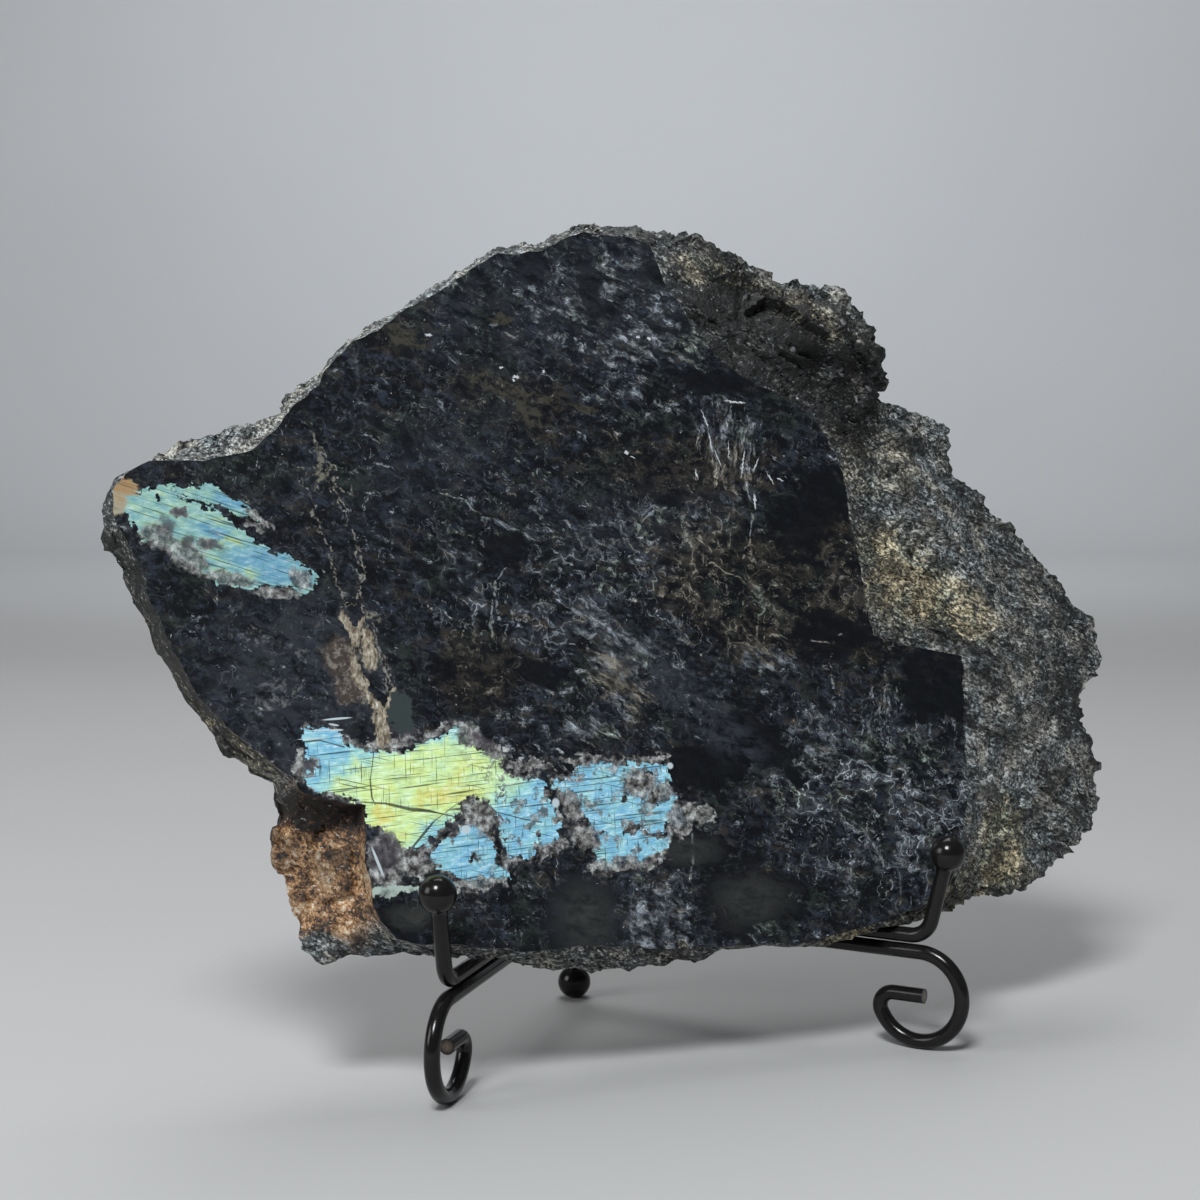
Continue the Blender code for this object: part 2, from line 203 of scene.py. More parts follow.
VEIN_SMOKE = ((0.066, 0.052, 0.043), (0.27, 0.24, 0.205))
STRAND_TAN = ((0.15, 0.13, 0.10), (0.34, 0.33, 0.30))
STAR_TAN = (0.26, 0.25, 0.20)
THIN_GREY = (0.20, 0.205, 0.21)

# Thin stains of the broken rock: how much of red, green and blue each one lets through
BROWN_STAIN = (1.18, 1.0, 0.74)
BLUE_STAIN = (0.86, 1.02, 1.14)
OCHRE_STAIN = (1.42, 1.27, 0.92)

# Colour ramps: a place from 0 to 1 and a colour
FLASH_RAMP = ((0.0, FLASH_BLUE), (0.3, FLASH_CYAN), (0.52, FLASH_GREEN), (0.74, FLASH_YELLOW),
              (1.0, FLASH_ORANGE))
CRYSTAL_RAMP = ((0.34, (0.012, 0.011, 0.012)), (0.44, (0.080, 0.077, 0.077)),
                (0.54, (0.23, 0.23, 0.225)), (0.68, (0.56, 0.59, 0.58)))
VEIN_RAMP = ((0.34, (0.055, 0.040, 0.024)), (0.46, (0.20, 0.168, 0.122)),
             (0.60, (0.43, 0.39, 0.31)), (0.74, (0.74, 0.73, 0.67)))
ROCK_RAMP = ((0.0, (0.005, 0.0055, 0.006)), (0.22, (0.022, 0.024, 0.025)),
             (0.45, (0.078, 0.083, 0.080)), (0.70, (0.19, 0.197, 0.19)),
             (1.0, (0.58, 0.60, 0.59)))
RUST_RAMP = ((0.38, (0.016, 0.010, 0.007)), (0.49, (0.12, 0.060, 0.028)),
             (0.58, (0.34, 0.180, 0.078)), (0.68, (0.47, 0.32, 0.18)), (0.80, (0.68, 0.61, 0.50)))

# The stand's paint and its bare cut ends, and the floor, each from dark to pale
PAINT_BLACK = ((0.0035, 0.0033, 0.0033), (0.011, 0.0095, 0.009))
BARE_STEEL = ((0.12, 0.085, 0.06), (0.34, 0.28, 0.23))
FLOOR_GREY = ((0.42, 0.42, 0.42), (0.46, 0.46, 0.46))

# Flash patch low on the left: its three lobes, as lines of (across, up) in mm
LOBE_TOP = (
    (-114, 60), (-113, 70), (-104, 69), (-103, 66), (-96, 63), (-91, 62), (-85, 62), (-81, 63),
    (-75, 65), (-71, 66), (-69, 69), (-66, 69), (-65, 67), (-64, 63), (-61, 61), (-55, 59),
    (-54, 54), (-48, 52), (-42, 51), (-41, 47), (-39, 42), (-38, 37),
)
LOBE_BOTTOM = (
    (-114, 60), (-113, 53), (-110, 51), (-104, 50), (-98, 48), (-97, 41), (-93, 41), (-91, 38),
    (-88, 35), (-84, 33), (-80, 34), (-76, 38), (-70, 42), (-65, 45), (-60, 45), (-57, 41),
    (-56, 29), (-49, 29), (-46, 31), (-42, 32), (-40, 34), (-38, 37),
)
LOW_LOBE_TOP = (
    (-80, 31), (-76, 34), (-72, 37), (-66, 40), (-63, 37), (-59, 33), (-57, 27), (-55, 24),
)
LOW_LOBE_BOTTOM = (
    (-80, 30), (-77, 28), (-73, 25), (-69, 23), (-67, 21), (-61, 22), (-58, 23), (-55, 23),
)
RIGHT_LOBE_TOP = (
    (-39, 50), (-38, 52), (-33, 51), (-32, 54), (-29, 56), (-17, 55), (-12, 54), (-6, 54),
    (-2, 53), (-1, 44), (1, 39), (2, 35),
)
RIGHT_LOBE_BOTTOM = (
    (-39, 50), (-36, 46), (-32, 42), (-30, 38), (-29, 33), (-28, 27), (-25, 24), (-20, 24),
    (-9, 26), (-4, 29), (-2, 33), (2, 35),
)

# Dark broken places in the flash: across, up, half sizes in mm and turn in degrees
FLASH_HOLES = (
    (-60, 39.5, 2.8, 4.6, 35), (-65.5, 45.5, 3.6, 1.6, 28), (-57.8, 32, 1.6, 5.2, 0),
    (-82, 30.5, 1.7, 3.2, -20), (-77, 34, 3.2, 0.9, 38), (-66, 29.5, 1.7, 0.7, 0),
    (-72, 37, 0.9, 1.8, 0), (-47, 54, 6.5, 1.6, -7), (-40.5, 48.5, 1.2, 4.6, 10),
    (-38, 41, 1.3, 3.2, -20), (-34, 36.5, 4.0, 1.4, -42), (-29, 31.5, 3.2, 1.3, -18),
    (-13, 47.6, 3.6, 2.6, 0), (-7, 43.6, 2.0, 2.2, 0), (-8.5, 49.5, 1.1, 3.0, 0),
    (-16, 34.6, 3.4, 1.5, 22), (-25, 34.2, 1.5, 0.8, 0), (-9, 33, 4.6, 0.6, -8),
    (-17, 44, 1.3, 1.6, 0), (-3, 34, 1.5, 2.0, 0), (-54, 34, 1.1, 0.6, 0),
    (-45, 35.5, 0.9, 0.7, 0),
)

# Grey crystals in and round the low flash
FLASH_CRYSTALS = (
    (-116, 59, 2.4, 5.5, 0), (-112, 59, 2.2, 2.8, 0), (-64, 65.4, 5.0, 3.2, -38),
    (-57, 60.5, 5, 2.0, -30), (-47, 56, 8, 1.8, -8), (-27, 56, 9, 1.6, -4), (-6, 55.5, 5, 1.2, 0),
    (-12, 48, 6.0, 4.0, 0), (-4, 45, 3.4, 3.6, 0), (0, 36.5, 3.4, 6.0, 0), (6, 38, 6.5, 3.0, -8),
    (-34, 43, 3.4, 5.0, 20), (-31, 34, 4.0, 4.0, 0), (-63, 41.5, 4.6, 6.0, 40),
    (-83, 29, 5.0, 4.0, 0), (-66, 22, 9, 1.8, 4), (-18, 24.5, 13, 2.2, 2), (-41, 30.5, 6, 2.0, 20),
    (-92, 31, 6.4, 8.5, 0), (-88, 65, 8, 1.6, 3), (-74, 67.5, 5, 1.6, 18), (-56, 47, 2.0, 1.2, 0),
)

# Where the low flash turns yellow, green and orange, its peak, its pale strip and its mauve
LOW_YELLOW = ((-79, 52, 33, 13, 4),)
LOW_GREEN = ((-90, 42, 12, 10, -30),)
LOW_ORANGE = ((-72, 48.5, 10, 4.5, 8), (-91, 44, 6, 3.5, -8))
LOW_PEAK = ((-66, 66, 7, 6, 0),)
LOW_STRIP = ((-90, 22.0, 9.0, 1.7, 0),)
LOW_MAUVE = (
    (-92.5, 33, 5.0, 6.0, -25), (-112, 59, 1.8, 2.2, 0), (-60, 64, 4.0, 1.6, -35),
    (-84, 68, 4.5, 2.4, 0),
)

# Cracks in the low flash: upright ones as (up, across) points, level ones as (across, up)
UPRIGHT_CRACKS = (
    ((47, -94.2), (49, -95.0), (54, -95.1), (58, -94.2), (63, -93.2)),
    ((33, -85), (41, -77), (46, -69)),
)
LEVEL_CRACKS = (
    ((-116, 52), (-107, 50), (-99, 48), (-91, 47), (-84, 45), (-78, 44), (-69, 41.5)),
    ((-115, 66), (-109, 66.3), (-102, 64)), ((-70, 44), (-60, 43.2), (-50, 40), (-44, 38.6)),
)

# White needles and sparks in and round the low flash
FLASH_NEEDLES = (
    (-103.5, 72.3, 4.4, 0.32, 2), (-104.6, 70.6, 1.6, 0.3, -12), (-103.8, 69.0, 1.9, 0.32, 0),
    (-103.6, 67.4, 1.6, 0.3, 6), (-111, 66.9, 4.5, 0.25, 0), (-108, 69.2, 3.5, 0.3, 0),
    (-1, 53, 1.0, 1.0, 0), (-39, 44, 1.2, 1.4, 0), (-67.5, 38, 1.5, 1.3, 0),
    (-94.8, 30.5, 4.8, 0.45, -72),
)

# Flash patch at the left tip, as lines of (across, up) in mm
TIP_TOP = (
    (-165, 139), (-164, 143), (-162, 144), (-156, 142), (-155, 140), (-151, 141), (-149, 142),
    (-146, 142), (-142, 141), (-139, 139), (-136, 137), (-133, 134), (-130, 130), (-127, 127),
    (-123, 125), (-119, 122), (-115, 121), (-111, 118), (-108, 116), (-106, 113),
)
TIP_BOTTOM = (
    (-165, 139), (-164, 136), (-162, 134), (-160, 132), (-159, 130), (-158, 128), (-155, 126),
    (-153, 124), (-150, 123), (-147, 122), (-144, 119), (-140, 116), (-136, 114), (-135, 111),
    (-131, 111), (-128, 112), (-117, 112), (-113, 110), (-110, 109), (-106, 113),
)
BLADE_TOP = (
    (-146, 140), (-142, 142), (-139, 141), (-137, 142), (-135, 141), (-132, 139), (-129, 138),
    (-127, 136), (-124, 134), (-122, 131),
)
BLADE_BOTTOM = (
    (-146, 140), (-145, 139), (-140, 137.5), (-135, 136), (-131, 134), (-126, 132), (-122, 131),
)

# Crystals and dark slits of the tip's flash, where it turns blue and green, its mauve places
# and its tan corner: across, up, half sizes in mm and turn in degrees
TIP_CRYSTALS = (
    (-151.5, 127, 6, 4.0, -25), (-143.5, 121, 7.5, 4.0, -35), (-132, 114.4, 8, 2.4, -12),
    (-111, 113.5, 4.6, 3.0, -35), (-122.5, 131.8, 5.5, 1.2, -36), (-118, 109.6, 8, 1.8, -3),
    (-123.5, 129.4, 3.8, 1.0, -24), (-145, 134, 2.6, 1.8, -10), (-138, 124.6, 3, 2, 0),
)
TIP_SLITS = (
    (-138, 136.9, 8.5, 1.15, -22), (-130, 133.2, 5.0, 1.3, -24), (-127, 130.4, 6.5, 2.1, -30),
    (-122, 127.6, 5.5, 1.6, -34), (-156, 140.4, 1.0, 1.3, 0), (-153, 140.8, 0.8, 0.9, 0),
    (-150, 138.8, 0.6, 1.3, 0),
)
TIP_BLUE = ((-120, 117.5, 12, 5, -18), (-135, 128, 6, 2, -20), (-130, 136.5, 5, 1.8, -22))
TIP_GREEN = ((-125, 116, 3.6, 2, 0), (-131, 125, 5, 1.5, -30))
TIP_MAUVE = (
    (-149, 130, 2.8, 2.8, -20), (-143, 125.6, 2.4, 2.6, 0), (-135.5, 123.9, 3.6, 1.7, -15),
    (-145, 134, 1.6, 1.4, 0),
)
TIP_CORNER = ((-162, 142, 6.5, 2.8, -22), (-164, 137, 4.4, 4.2, -35))

# Smooth dark square-cornered place in the face: across, up and half sizes in mm
DARK_BLOCK = (94, 74, 12, 12)

# Smooth dark places in the face: across, up, half sizes in mm and turn in degrees
CALM_PLACES = (
    (13, 210, 8, 4, 0), (28, 174, 15, 4.5, -5), (56, 131, 19, 11, 42), (3, 27, 13, 6, 0),
    (20, 12, 16, 11, 0), (-33, 10, 12, 13, 0), (9, 52, 14, 9, 0), (-12, 204, 4, 14, 8),
    (-31, 211, 6, 6, -60), (58, 91, 15, 8, 0), (-40, 83, 8, 4.5, -20), (28, 60, 17, 7, -38),
    (-48, 121, 7, 6, 0), (-92, 10, 8, 8, 0),
)

# Smooth dark olive places near the bottom
OLIVE_PLACES = ((-33, 10, 10.5, 12, 0), (21, 11, 14, 9, 0), (2, 27, 11, 5, 0), (-84, 14, 12, 4, 0))

# Olive-brown smears: across, up, half sizes in mm and turn in degrees
OLIVE_SMEARS = (
    (-45, 172, 8.5, 2.6, -20), (-35, 168.5, 8, 1.8, -3), (-35, 163, 5.5, 2.8, -55),
    (-18, 165.5, 7, 1.0, -8), (-74, 187, 7, 3.0, -30), (-42, 193, 3, 2, 0),
)

# Long pale lines on the face, upright ones as (up, across) points and level ones as
# (across, up) points in mm
UPRIGHT_LINES = (
    ((93, -54), (100, -54), (106, -53), (112, -51), (116, -48)), ((93, -51), (99, -51), (106, -52)),
    ((91, -38), (98, -36), (99, -37), (103, -40)), ((117, 31), (123, 34), (131, 36), (139, 35)),
    ((91, 33), (99, 34), (103, 37)), ((69, 56.5), (85, 58.5)), ((54, 65), (70, 67)),
    ((62, 74), (81, 77)), ((19, 35), (33, 37.5)), ((15, 43.8), (21, 44.3)), ((16, 2), (33, 4)),
    ((5, 65), (12, 70), (17, 68), (25, 66)), ((95, -64), (100, -61), (103, -57), (106, -53)),
)
LEVEL_LINES = (
    ((-53, 132), (-44, 127), (-38, 124), (-33, 121), (-29, 117), (-25, 116)),
    ((-38, 94), (-33, 91), (-28, 92), (-20, 94)), ((16, 117), (23, 113), (27, 111), (37, 103)),
    ((27, 93), (33, 91), (37, 86), (42, 84), (47, 85)), ((58, 54), (65, 50), (72, 45), (77, 44)),
    ((74, 40), (80, 37), (87, 34), (92, 31), (100, 30)), ((37, 92), (48, 90), (59, 89), (63, 92)),
    ((-17, 117), (-9, 117), (-2, 121), (4, 123)), ((-9, 129), (-3, 128), (2, 132), (7, 134)),
    ((-90, 150), (-70, 141), (-60, 136), (-52, 131)),
)

# Bright marks on the face: white needle crystals, and painted glints where flat crystals catch the
# light: across, up, half sizes in mm and turn in degrees
FACE_NEEDLES_AND_GLINTS = (
    (-39, 175, 1.3, 0.5, -5), (-40, 174, 0.6, 0.4, 0), (-43.5, 178, 0.8, 0.4, 0),
    (-30, 177, 0.5, 0.4, 0), (3, 188.5, 0.8, 0.5, -20), (6.5, 188, 0.6, 0.6, 0),
    (-5, 151, 0.9, 0.5, -30), (-3, 149.5, 0.8, 0.35, -30), (34, 167.5, 4.0, 0.35, -6),
    (23, 161.5, 3.6, 0.24, -74), (24, 154.5, 3.6, 0.22, -84), (26, 149, 3.0, 0.22, -72),
    (34.5, 147.5, 5.0, 0.24, 76), (37.2, 135, 2.6, 0.5, 88), (43.5, 142.5, 2.4, 0.24, -62),
    (39, 147, 2.8, 0.2, 60), (47, 142, 1.4, 0.35, -25), (18, 144, 1.8, 0.2, -80),
    (30, 152, 3.2, 0.18, 84), (-66, 188, 1.2, 0.4, -5),
)

# Tan crystals of the brown vein: across, up, half sizes in mm and turn in degrees
VEIN_CRYSTALS = (
    (-97.5, 98, 1.9, 5.5, 22), (-94.4, 99, 1.1, 4, -25), (-92.2, 92, 2.3, 6.5, 0),
    (-96.2, 84, 2.0, 6, 14), (-90.5, 69, 2.4, 6.5, 0), (-91.5, 76, 1.4, 4.5, 35),
    (-87.5, 77, 1.1, 4.0, -35),
)

# Round the vein, the same way: brown veil, pale stars of the strands, dark oval, thin haze
VEIN_VEIL = ((-101, 90, 6, 6.5, 20), (-99, 80, 5, 6, 40))
VEIN_STARS = (
    (-102, 144, 4.5, 1.0, 60), (-97, 141, 5.0, 0.8, -30), (-103, 148, 1.0, 5, 0),
    (-91, 102, 1.8, 1.3, 0),
)
VEIN_OVAL = ((-84, 73, 4.2, 6.2, 0),)
VEIN_HAZES = ((-120, 80, 9, 5, 20), (-127, 97, 8, 2.0, -5), (-114, 92, 8, 1.4, -30))

# Brown and pale strands on the left of the face, as (up, across) points
VEIN_STRANDS = (
    ((102, -98), (109, -99), (116, -101), (122, -102), (129, -105), (138, -106), (144, -109)),
    ((102, -91), (105, -93), (110, -94), (115, -92), (120, -93), (126, -94), (132, -96), (140, -99),
     (146, -98), (150, -101), (158, -105)),
    ((79, -85), (83, -87), (89, -88), (95, -89), (101, -91)), ((80, -88), (88, -89.5), (95, -89)),
    ((74, -94), (80, -95), (88, -96), (93, -97)), ((105, -99), (107, -95), (110, -93)),
)

# Painted glints on the broken rim, where flat flakes catch the light, the same way
PAINTED_ROCK_GLINTS = (
    (83, 197.5, 2.8, 0.9, -48), (63, 183, 1.8, 0.5, -30), (77, 179.5, 2.0, 0.6, -42),
    (58, 186, 1.4, 0.6, -15), (71, 182, 1.6, 0.4, -30), (44, 204, 0.9, 0.8, 0),
    (90, 176, 1.8, 0.5, -45), (84, 172, 1.6, 0.4, -35), (88, 128, 1.5, 0.9, 20),
)

# Parts of the face that carry different marks: least and most across, least and most up.
# A mark belongs to each part that it comes near, within a margin in mm.
REGION_MARGIN = 14
FACE_REGIONS = {
    "foot": (-200, 20, -20, 12), "right": (20, 200, -20, 104), "middle": (-78, 20, 76, 140),
    "upper right": (20, 200, 104, 240), "top": (-78, 20, 140, 240), "vein": (-200, -78, 76, 104),
    "tip": (-200, -78, 104, 240), "flash": (-200, 20, 12, 76),
}

# How thick each kind of crystal lies over the face, and where its ground is hazy, torn by gaps
# or warm: a base amount, then zones of across, up, half sizes in mm, turn and amount
FACE_ZONES = {
    "thick": (0.35, (
        (70, 38, 40, 32, 0, 0.85), (-10, 8, 15, 16, 0, 1.5), (-45, 74, 26, 16, 0, 0.65),
        (-5, 122, 30, 15, 0, 0.85), (-46, 132, 16, 14, 0, 0.85), (0, 200, 46, 20, 0, 1.1),
        (8, 176, 30, 16, 0, 0.8), (40, 58, 22, 14, 0, 0.6), (-120, 105, 36, 30, 30, -0.25),
        (-65, 100, 22, 30, 0, -0.45), (-70, 160, 34, 20, 30, -0.1), (70, 108, 20, 20, 0, 0.35),
        (60, 85, 30, 14, 0, -0.3), (-66, 12, 22, 10, 0, 0.1), (28, 112, 26, 16, -20, 0.3))),
    "wisps": (0.0, (
        (-18, 95, 22, 8, -42, 1.4), (-15, 78, 18, 7, -38, 1.45), (4, 93, 13, 5, 12, 1.3),
        (34, 85, 13, 7, -15, 1.45), (16, 72, 16, 6, -45, 1.0), (-22, 66, 15, 6, -10, 1.0),
        (-4, 60, 12, 5, 0, 0.6), (-32, 62, 12, 6, 0, 0.7), (-60, 170, 30, 14, 0, 0.45),
        (8, 190, 30, 16, -20, 0.8), (-20, 150, 30, 10, 0, 0.35), (26, 1, 9, 4, 10, 1.2))),
    "strands": (0.0, (
        (30, 152, 12, 16, 0, 1.7), (-8, 8, 15, 17, 0, 0.8), (85, 66, 22, 15, 0, 0.85),
        (-52, 98, 8, 14, 0, 0.6), (62, 70, 14, 12, 0, 0.5), (40, 24, 20, 12, 0, 0.6))),
    "haze": (0.0, (
        (-112, 82, 30, 32, 0, 0.75), (-66, 150, 40, 14, 35, 0.3), (-20, 200, 60, 22, 10, 0.4),
        (8, 72, 34, 8, -42, 0.9), (-33, 10, 16, 12, 0, 0.5), (-5, 130, 40, 14, 0, 0.25))),
    "gaps": (0.0, (
        (30, 190, 50, 26, -20, 1.0), (-20, 180, 50, 24, -10, 0.5), (-40, 130, 40, 14, -10, 0.5),
        (20, 75, 20, 14, -35, 0.8), (60, 110, 16, 26, 0, 0.4))),
    "nets": (0.15, (
        (72, 36, 38, 28, 0, 0.95), (42, 50, 20, 16, 0, 0.6), (-40, 106, 26, 20, 0, 0.5),
        (8, 120, 34, 16, 0, 0.6), (-60, 112, 16, 20, 0, 0.3), (75, 100, 18, 20, 0, 0.5),
        (25, 100, 26, 14, 0, 0.4))),
    "warmth": (0.0, (
        (30, 108, 32, 22, -20, 1.0), (-42, 168, 24, 12, -20, 0.6), (72, 108, 24, 34, 0, 0.6),
        (-60, 85, 14, 14, 0, 0.9), (-15, 80, 16, 8, -35, 0.5), (10, 146, 34, 12, 0, 0.7),
        (-75, 190, 12, 8, 30, 0.8))),
}

# Stains, pale places and dark places of the broken rock, the same way. The dark places are the
# black blades and dark broken rock, and painted shadow under the face's ledge above the rusty
# corner; the rock is also darker towards its right edge and its bottom.
ROCK_ZONES = {
    "rust": (0.0, ((-107, 32, 17, 26, 0, 1.4), (-110, 5, 8, 8, 0, -1.3))),
    "ochre": (0.0, (
        (88, 110, 18, 22, 40, 0.85), (112, 100, 18, 12, -30, 0.85), (122, 24, 12, 16, 0, 1.0),
        (60, 200, 24, 10, -20, 0.75), (30, 212, 14, 8, 0, 0.5), (110, 10, 26, 10, 0, 0.5),
        (-138, 84, 10, 30, 30, 0.8),
        (50, 0, 14, 7, 0, 0.9), (78, 4, 40, 8, 0, 0.4), (85, 150, 20, 16, 0, 0.35))),
    "pale": (0.05, (
        (-110, 172, 70, 12, 32, 0.5), (-72, 196, 22, 8, 32, 0.6), (-140, 157, 26, 8, 10, 0.6),
        (116, 112, 36, 42, 0, 1.3), (124, 52, 40, 46, 0, 1.5), (95, 152, 24, 16, 0, 0.4),
        (-110, 4, 10, 10, 0, 2.2), (-140, 85, 8, 24, 32, 0.25), (50, 0, 14, 7, 0, 0.4))),
    "dark": (0.0, (
        (56, 182, 44, 27, -25, 1.1), (92, 188, 14, 12, 0, 0.4), (-148, 96, 22, 46, 30, 1.1),
        (-10, 224, 50, 8, 0, 0.15), (150, 90, 30, 20, -50, 0.3), (156, 30, 20, 20, 0, 0.2),
        (30, -6, 60, 6, 0, 0.35), (-107, 47, 16, 6.5, -12, 1.5), (90, 2, 40, 9, 0, 0.3))),
}

# The floor: its flat radius, the bend at its edge and the backdrop's rise, in metres
FLOOR_FLAT = 3.0
FLOOR_BEND = 1.2
BACKDROP_RISE = 2.4

# The camera's lens in mm, its place in metres and its turn
CAMERA_LENS = 67.05
CAMERA_PLACE = (-0.2765, -0.6472, 0.1919)
CAMERA_TURN = (radians(85.73), 0.0, radians(-21.70))

# Lamps: name, place and aim in metres, size in metres, power in watts, colour, and spread in
# degrees. Three aim at the object's middle and one at the backdrop.
MIDDLE = (0.0, 0.0, 0.12)
WHITE = (1.0, 1.0, 1.0)
LAMPS = (
    ("main_lamp", (-0.75, -1.05, 1.55), MIDDLE, 0.5, 36.0, (0.95, 0.98, 1.0), 180),
    ("top_lamp", (0.3, 0.9, 2.0), MIDDLE, 1.2, 18.0, WHITE, 180),
    ("left_lamp", (-1.7, -0.1, 0.8), MIDDLE, 0.8, 9.0, WHITE, 180),
    ("backdrop_lamp", (0.5, 0.9, 2.3), (1.6, 4.1, 0.7), 1.0, 38.0, (0.90, 0.95, 1.0), 110),
)
ROOM_COLOUR = (0.76, 0.81, 0.88)
ROOM_STRENGTH = 0.16


class Field:
    """A socket of a material. Sums, differences, products and quotients add Math nodes."""

    def __init__(self, tree, socket=None):
        self.tree = tree
        self.socket = socket

    def node(self, kind, settings, inputs, output=0):
        """Adds a node of a kind. Its settings are set first, then its sockets get their
        numbers or links. Stops fill a colour ramp and points fill a curve.
        """
        made = self.tree.nodes.new(kind)
        for name, value in settings.items():
            if name == "stops":
                fill_ramp(made.color_ramp, value)
            elif name == "points":
                fill_curve(made.mapping, value)
            else:
                setattr(made, name, value)
        for name, value in inputs.items():
            if isinstance(value, Field):
                self.tree.links.new(value.socket, made.inputs[name])
            else:
                made.inputs[name].default_value = value
        return Field(self.tree, made.outputs[output])

    def maths(self, operation, first, second=0.0):
        """Adds a Math node for an operation on one or two values."""
        return self.node("ShaderNodeMath", {"operation": operation}, {0: first, 1: second})

    def __add__(self, other):
        return self.maths("ADD", self, other)

    __radd__ = __add__

    def __sub__(self, other):
        return self.maths("SUBTRACT", self, other)

    def __rsub__(self, other):
        return self.maths("SUBTRACT", other, self)

    def __mul__(self, other):
        return self.maths("MULTIPLY", self, other)

    __rmul__ = __mul__

    def __truediv__(self, other):
        return self.maths("DIVIDE", self, other)

    def __abs__(self):
        return self.maths("ABSOLUTE", self)


def fill_ramp(colours, stops):
    """Gives a colour ramp its stops: a place from 0 to 1 and a colour each."""
    while len(colours.elements) < len(stops):
        colours.elements.new(0.5)
    for element, (place, colour) in zip(colours.elements, stops):
        element.position = place
        element.color = (*colour, 1.0)


def fill_curve(mapping, points):
    """Gives a curve its points, with straight runs between them."""
    line = mapping.curves[0]
    while len(line.points) < len(points):
        line.points.new(0.5, 0.5)
    for point, (along, height) in zip(line.points, points):
        point.location = (along, height)
        point.handle_type = "VECTOR"
    mapping.extend = "HORIZONTAL"
    mapping.update()


def least(*fields):
    """The smallest of several fields."""
    result = fields[0]
    for field in fields[1:]:
        result = field.maths("MINIMUM", result, field)
    return result


def most(*fields):
    """The largest of several fields."""
    result = fields[0]
    for field in fields[1:]:
        result = field.maths("MAXIMUM", result, field)
    return result


def fade(value, start, end):
    """Goes smoothly from 0 at start to 1 at end; start may be the larger one."""
    return value.node("ShaderNodeMapRange", {"interpolation_type": "SMOOTHSTEP"},
                      {"Value": value, "From Min": start, "From Max": end})


def tint(factor, low, high):
    """Mixes two colours, each a tuple of red, green and blue or a field."""
    ends = {6: low, 7: high}
    inputs = {slot: (*end, 1.0) if isinstance(end, tuple) else end for slot, end in ends.items()}
    inputs[0] = factor
    return factor.node("ShaderNodeMix", {"data_type": "RGBA"}, inputs, 2)


def shade(colour, amount):
    """Multiplies a colour by a number field."""
    grey = amount.node("ShaderNodeCombineColor", {}, {0: amount, 1: amount, 2: amount})
    return grey.node("ShaderNodeMix", {"data_type": "RGBA", "blend_type": "MULTIPLY"},
                     {0: 1.0, 6: colour, 7: grey}, 2)


def stain(colour, strength):
    """A colour as a thin stain leaves it: each of its parts times a number."""
    return colour.node("ShaderNodeMix", {"data_type": "RGBA", "blend_type": "MULTIPLY"},
                       {0: 1.0, 6: colour, 7: (*strength, 1.0)}, 2)


def ramp(value, stops):
    """Colours along a number field: stops of a place from 0 to 1 and a colour."""
    return value.node("ShaderNodeValToRGB", {"stops": stops}, {0: value})


def relief_normal(height, strength, depth):
    """The direction of a surface with a fine relief of a depth in mm."""
    return height.node("ShaderNodeBump", {}, {"Height": height, "Strength": strength,
                                              "Distance": depth * MM})


def new_material(name):
    """A material with only its shader and output: gives it, its shader and a first field."""
    material = bpy.data.materials.new(name)
    material.use_nodes = True
    shader = material.node_tree.nodes["Principled BSDF"]
    return material, shader, Field(material.node_tree)


def plug(shader, name, field):
    """Links a field to a socket of a material's shader."""
    field.tree.links.new(field.socket, shader.inputs[name])


def attribute(field, name):
    """One of the numbers that are stored on a piece's points."""
    return field.node("ShaderNodeAttribute", {"attribute_name": name}, {}, "Fac")


def face_place(field):
    """Across, behind and up in millimetres, as the stone's face lies."""
    position = field.node("ShaderNodeTexCoord", {}, {}, "Object")
    turned = field.node("ShaderNodeMapping", {"vector_type": "POINT"},
                        {"Vector": position, "Rotation": (FACE_LEAN, 0.0, 0.0),
                         "Scale": (1.0 / MM,) * 3})
    back = CENTRE[1] - FACE_FRONT_Y
    shift = (CENTRE[0],
             back * cos(FACE_LEAN) + FACE_FRONT_Z * sin(FACE_LEAN),
             back * sin(FACE_LEAN) - FACE_FRONT_Z * cos(FACE_LEAN))
    return field.node("ShaderNodeVectorMath", {"operation": "ADD"}, {0: turned, 1: shift})


def noise(place, size, detail=2.0, roughness=0.5, output=0):
    """Smooth noise from 0 to 1 whose lumps are about size mm wide."""
    return place.node("ShaderNodeTexNoise", {},
                      {"Vector": place, "Scale": 1.0 / size, "Detail": detail,
                       "Roughness": roughness}, output)


def cell_colours(place, size):
    """Square-cornered cells of about size mm, each with a colour of its own."""
    return place.node("ShaderNodeTexVoronoi", {"feature": "F1", "distance": "CHEBYCHEV"},
                      {"Vector": place, "Scale": 1.0 / size, "Randomness": 1.0}, "Color")


def stretch(place, turn, long, short):
    """Turns places in the face's plane and makes them long one way and short the other."""
    return place.node("ShaderNodeMapping", {"vector_type": "TEXTURE"},
                      {"Vector": place, "Rotation": (0.0, -radians(turn), 0.0),
                       "Scale": (long, short, short)})


def feathers(place, turn, long, short, detail=4.0):
    """Feathery mats of fine fibres: near 1 for the most part, and up to 4 where they gather."""
    return place.node("ShaderNodeTexNoise", {"noise_type": "MULTIFRACTAL"},
                      {"Vector": stretch(place, turn, long, short), "Scale": 1.0,
                       "Detail": detail, "Roughness": 0.82})


def streaks(place, turn, long, short, start, end):
    """Thin broken lines that run at a turn: where stretched noise passes from start to end."""
    return fade(noise(stretch(place, turn, long, short), 1.0, 1.0), start, end)


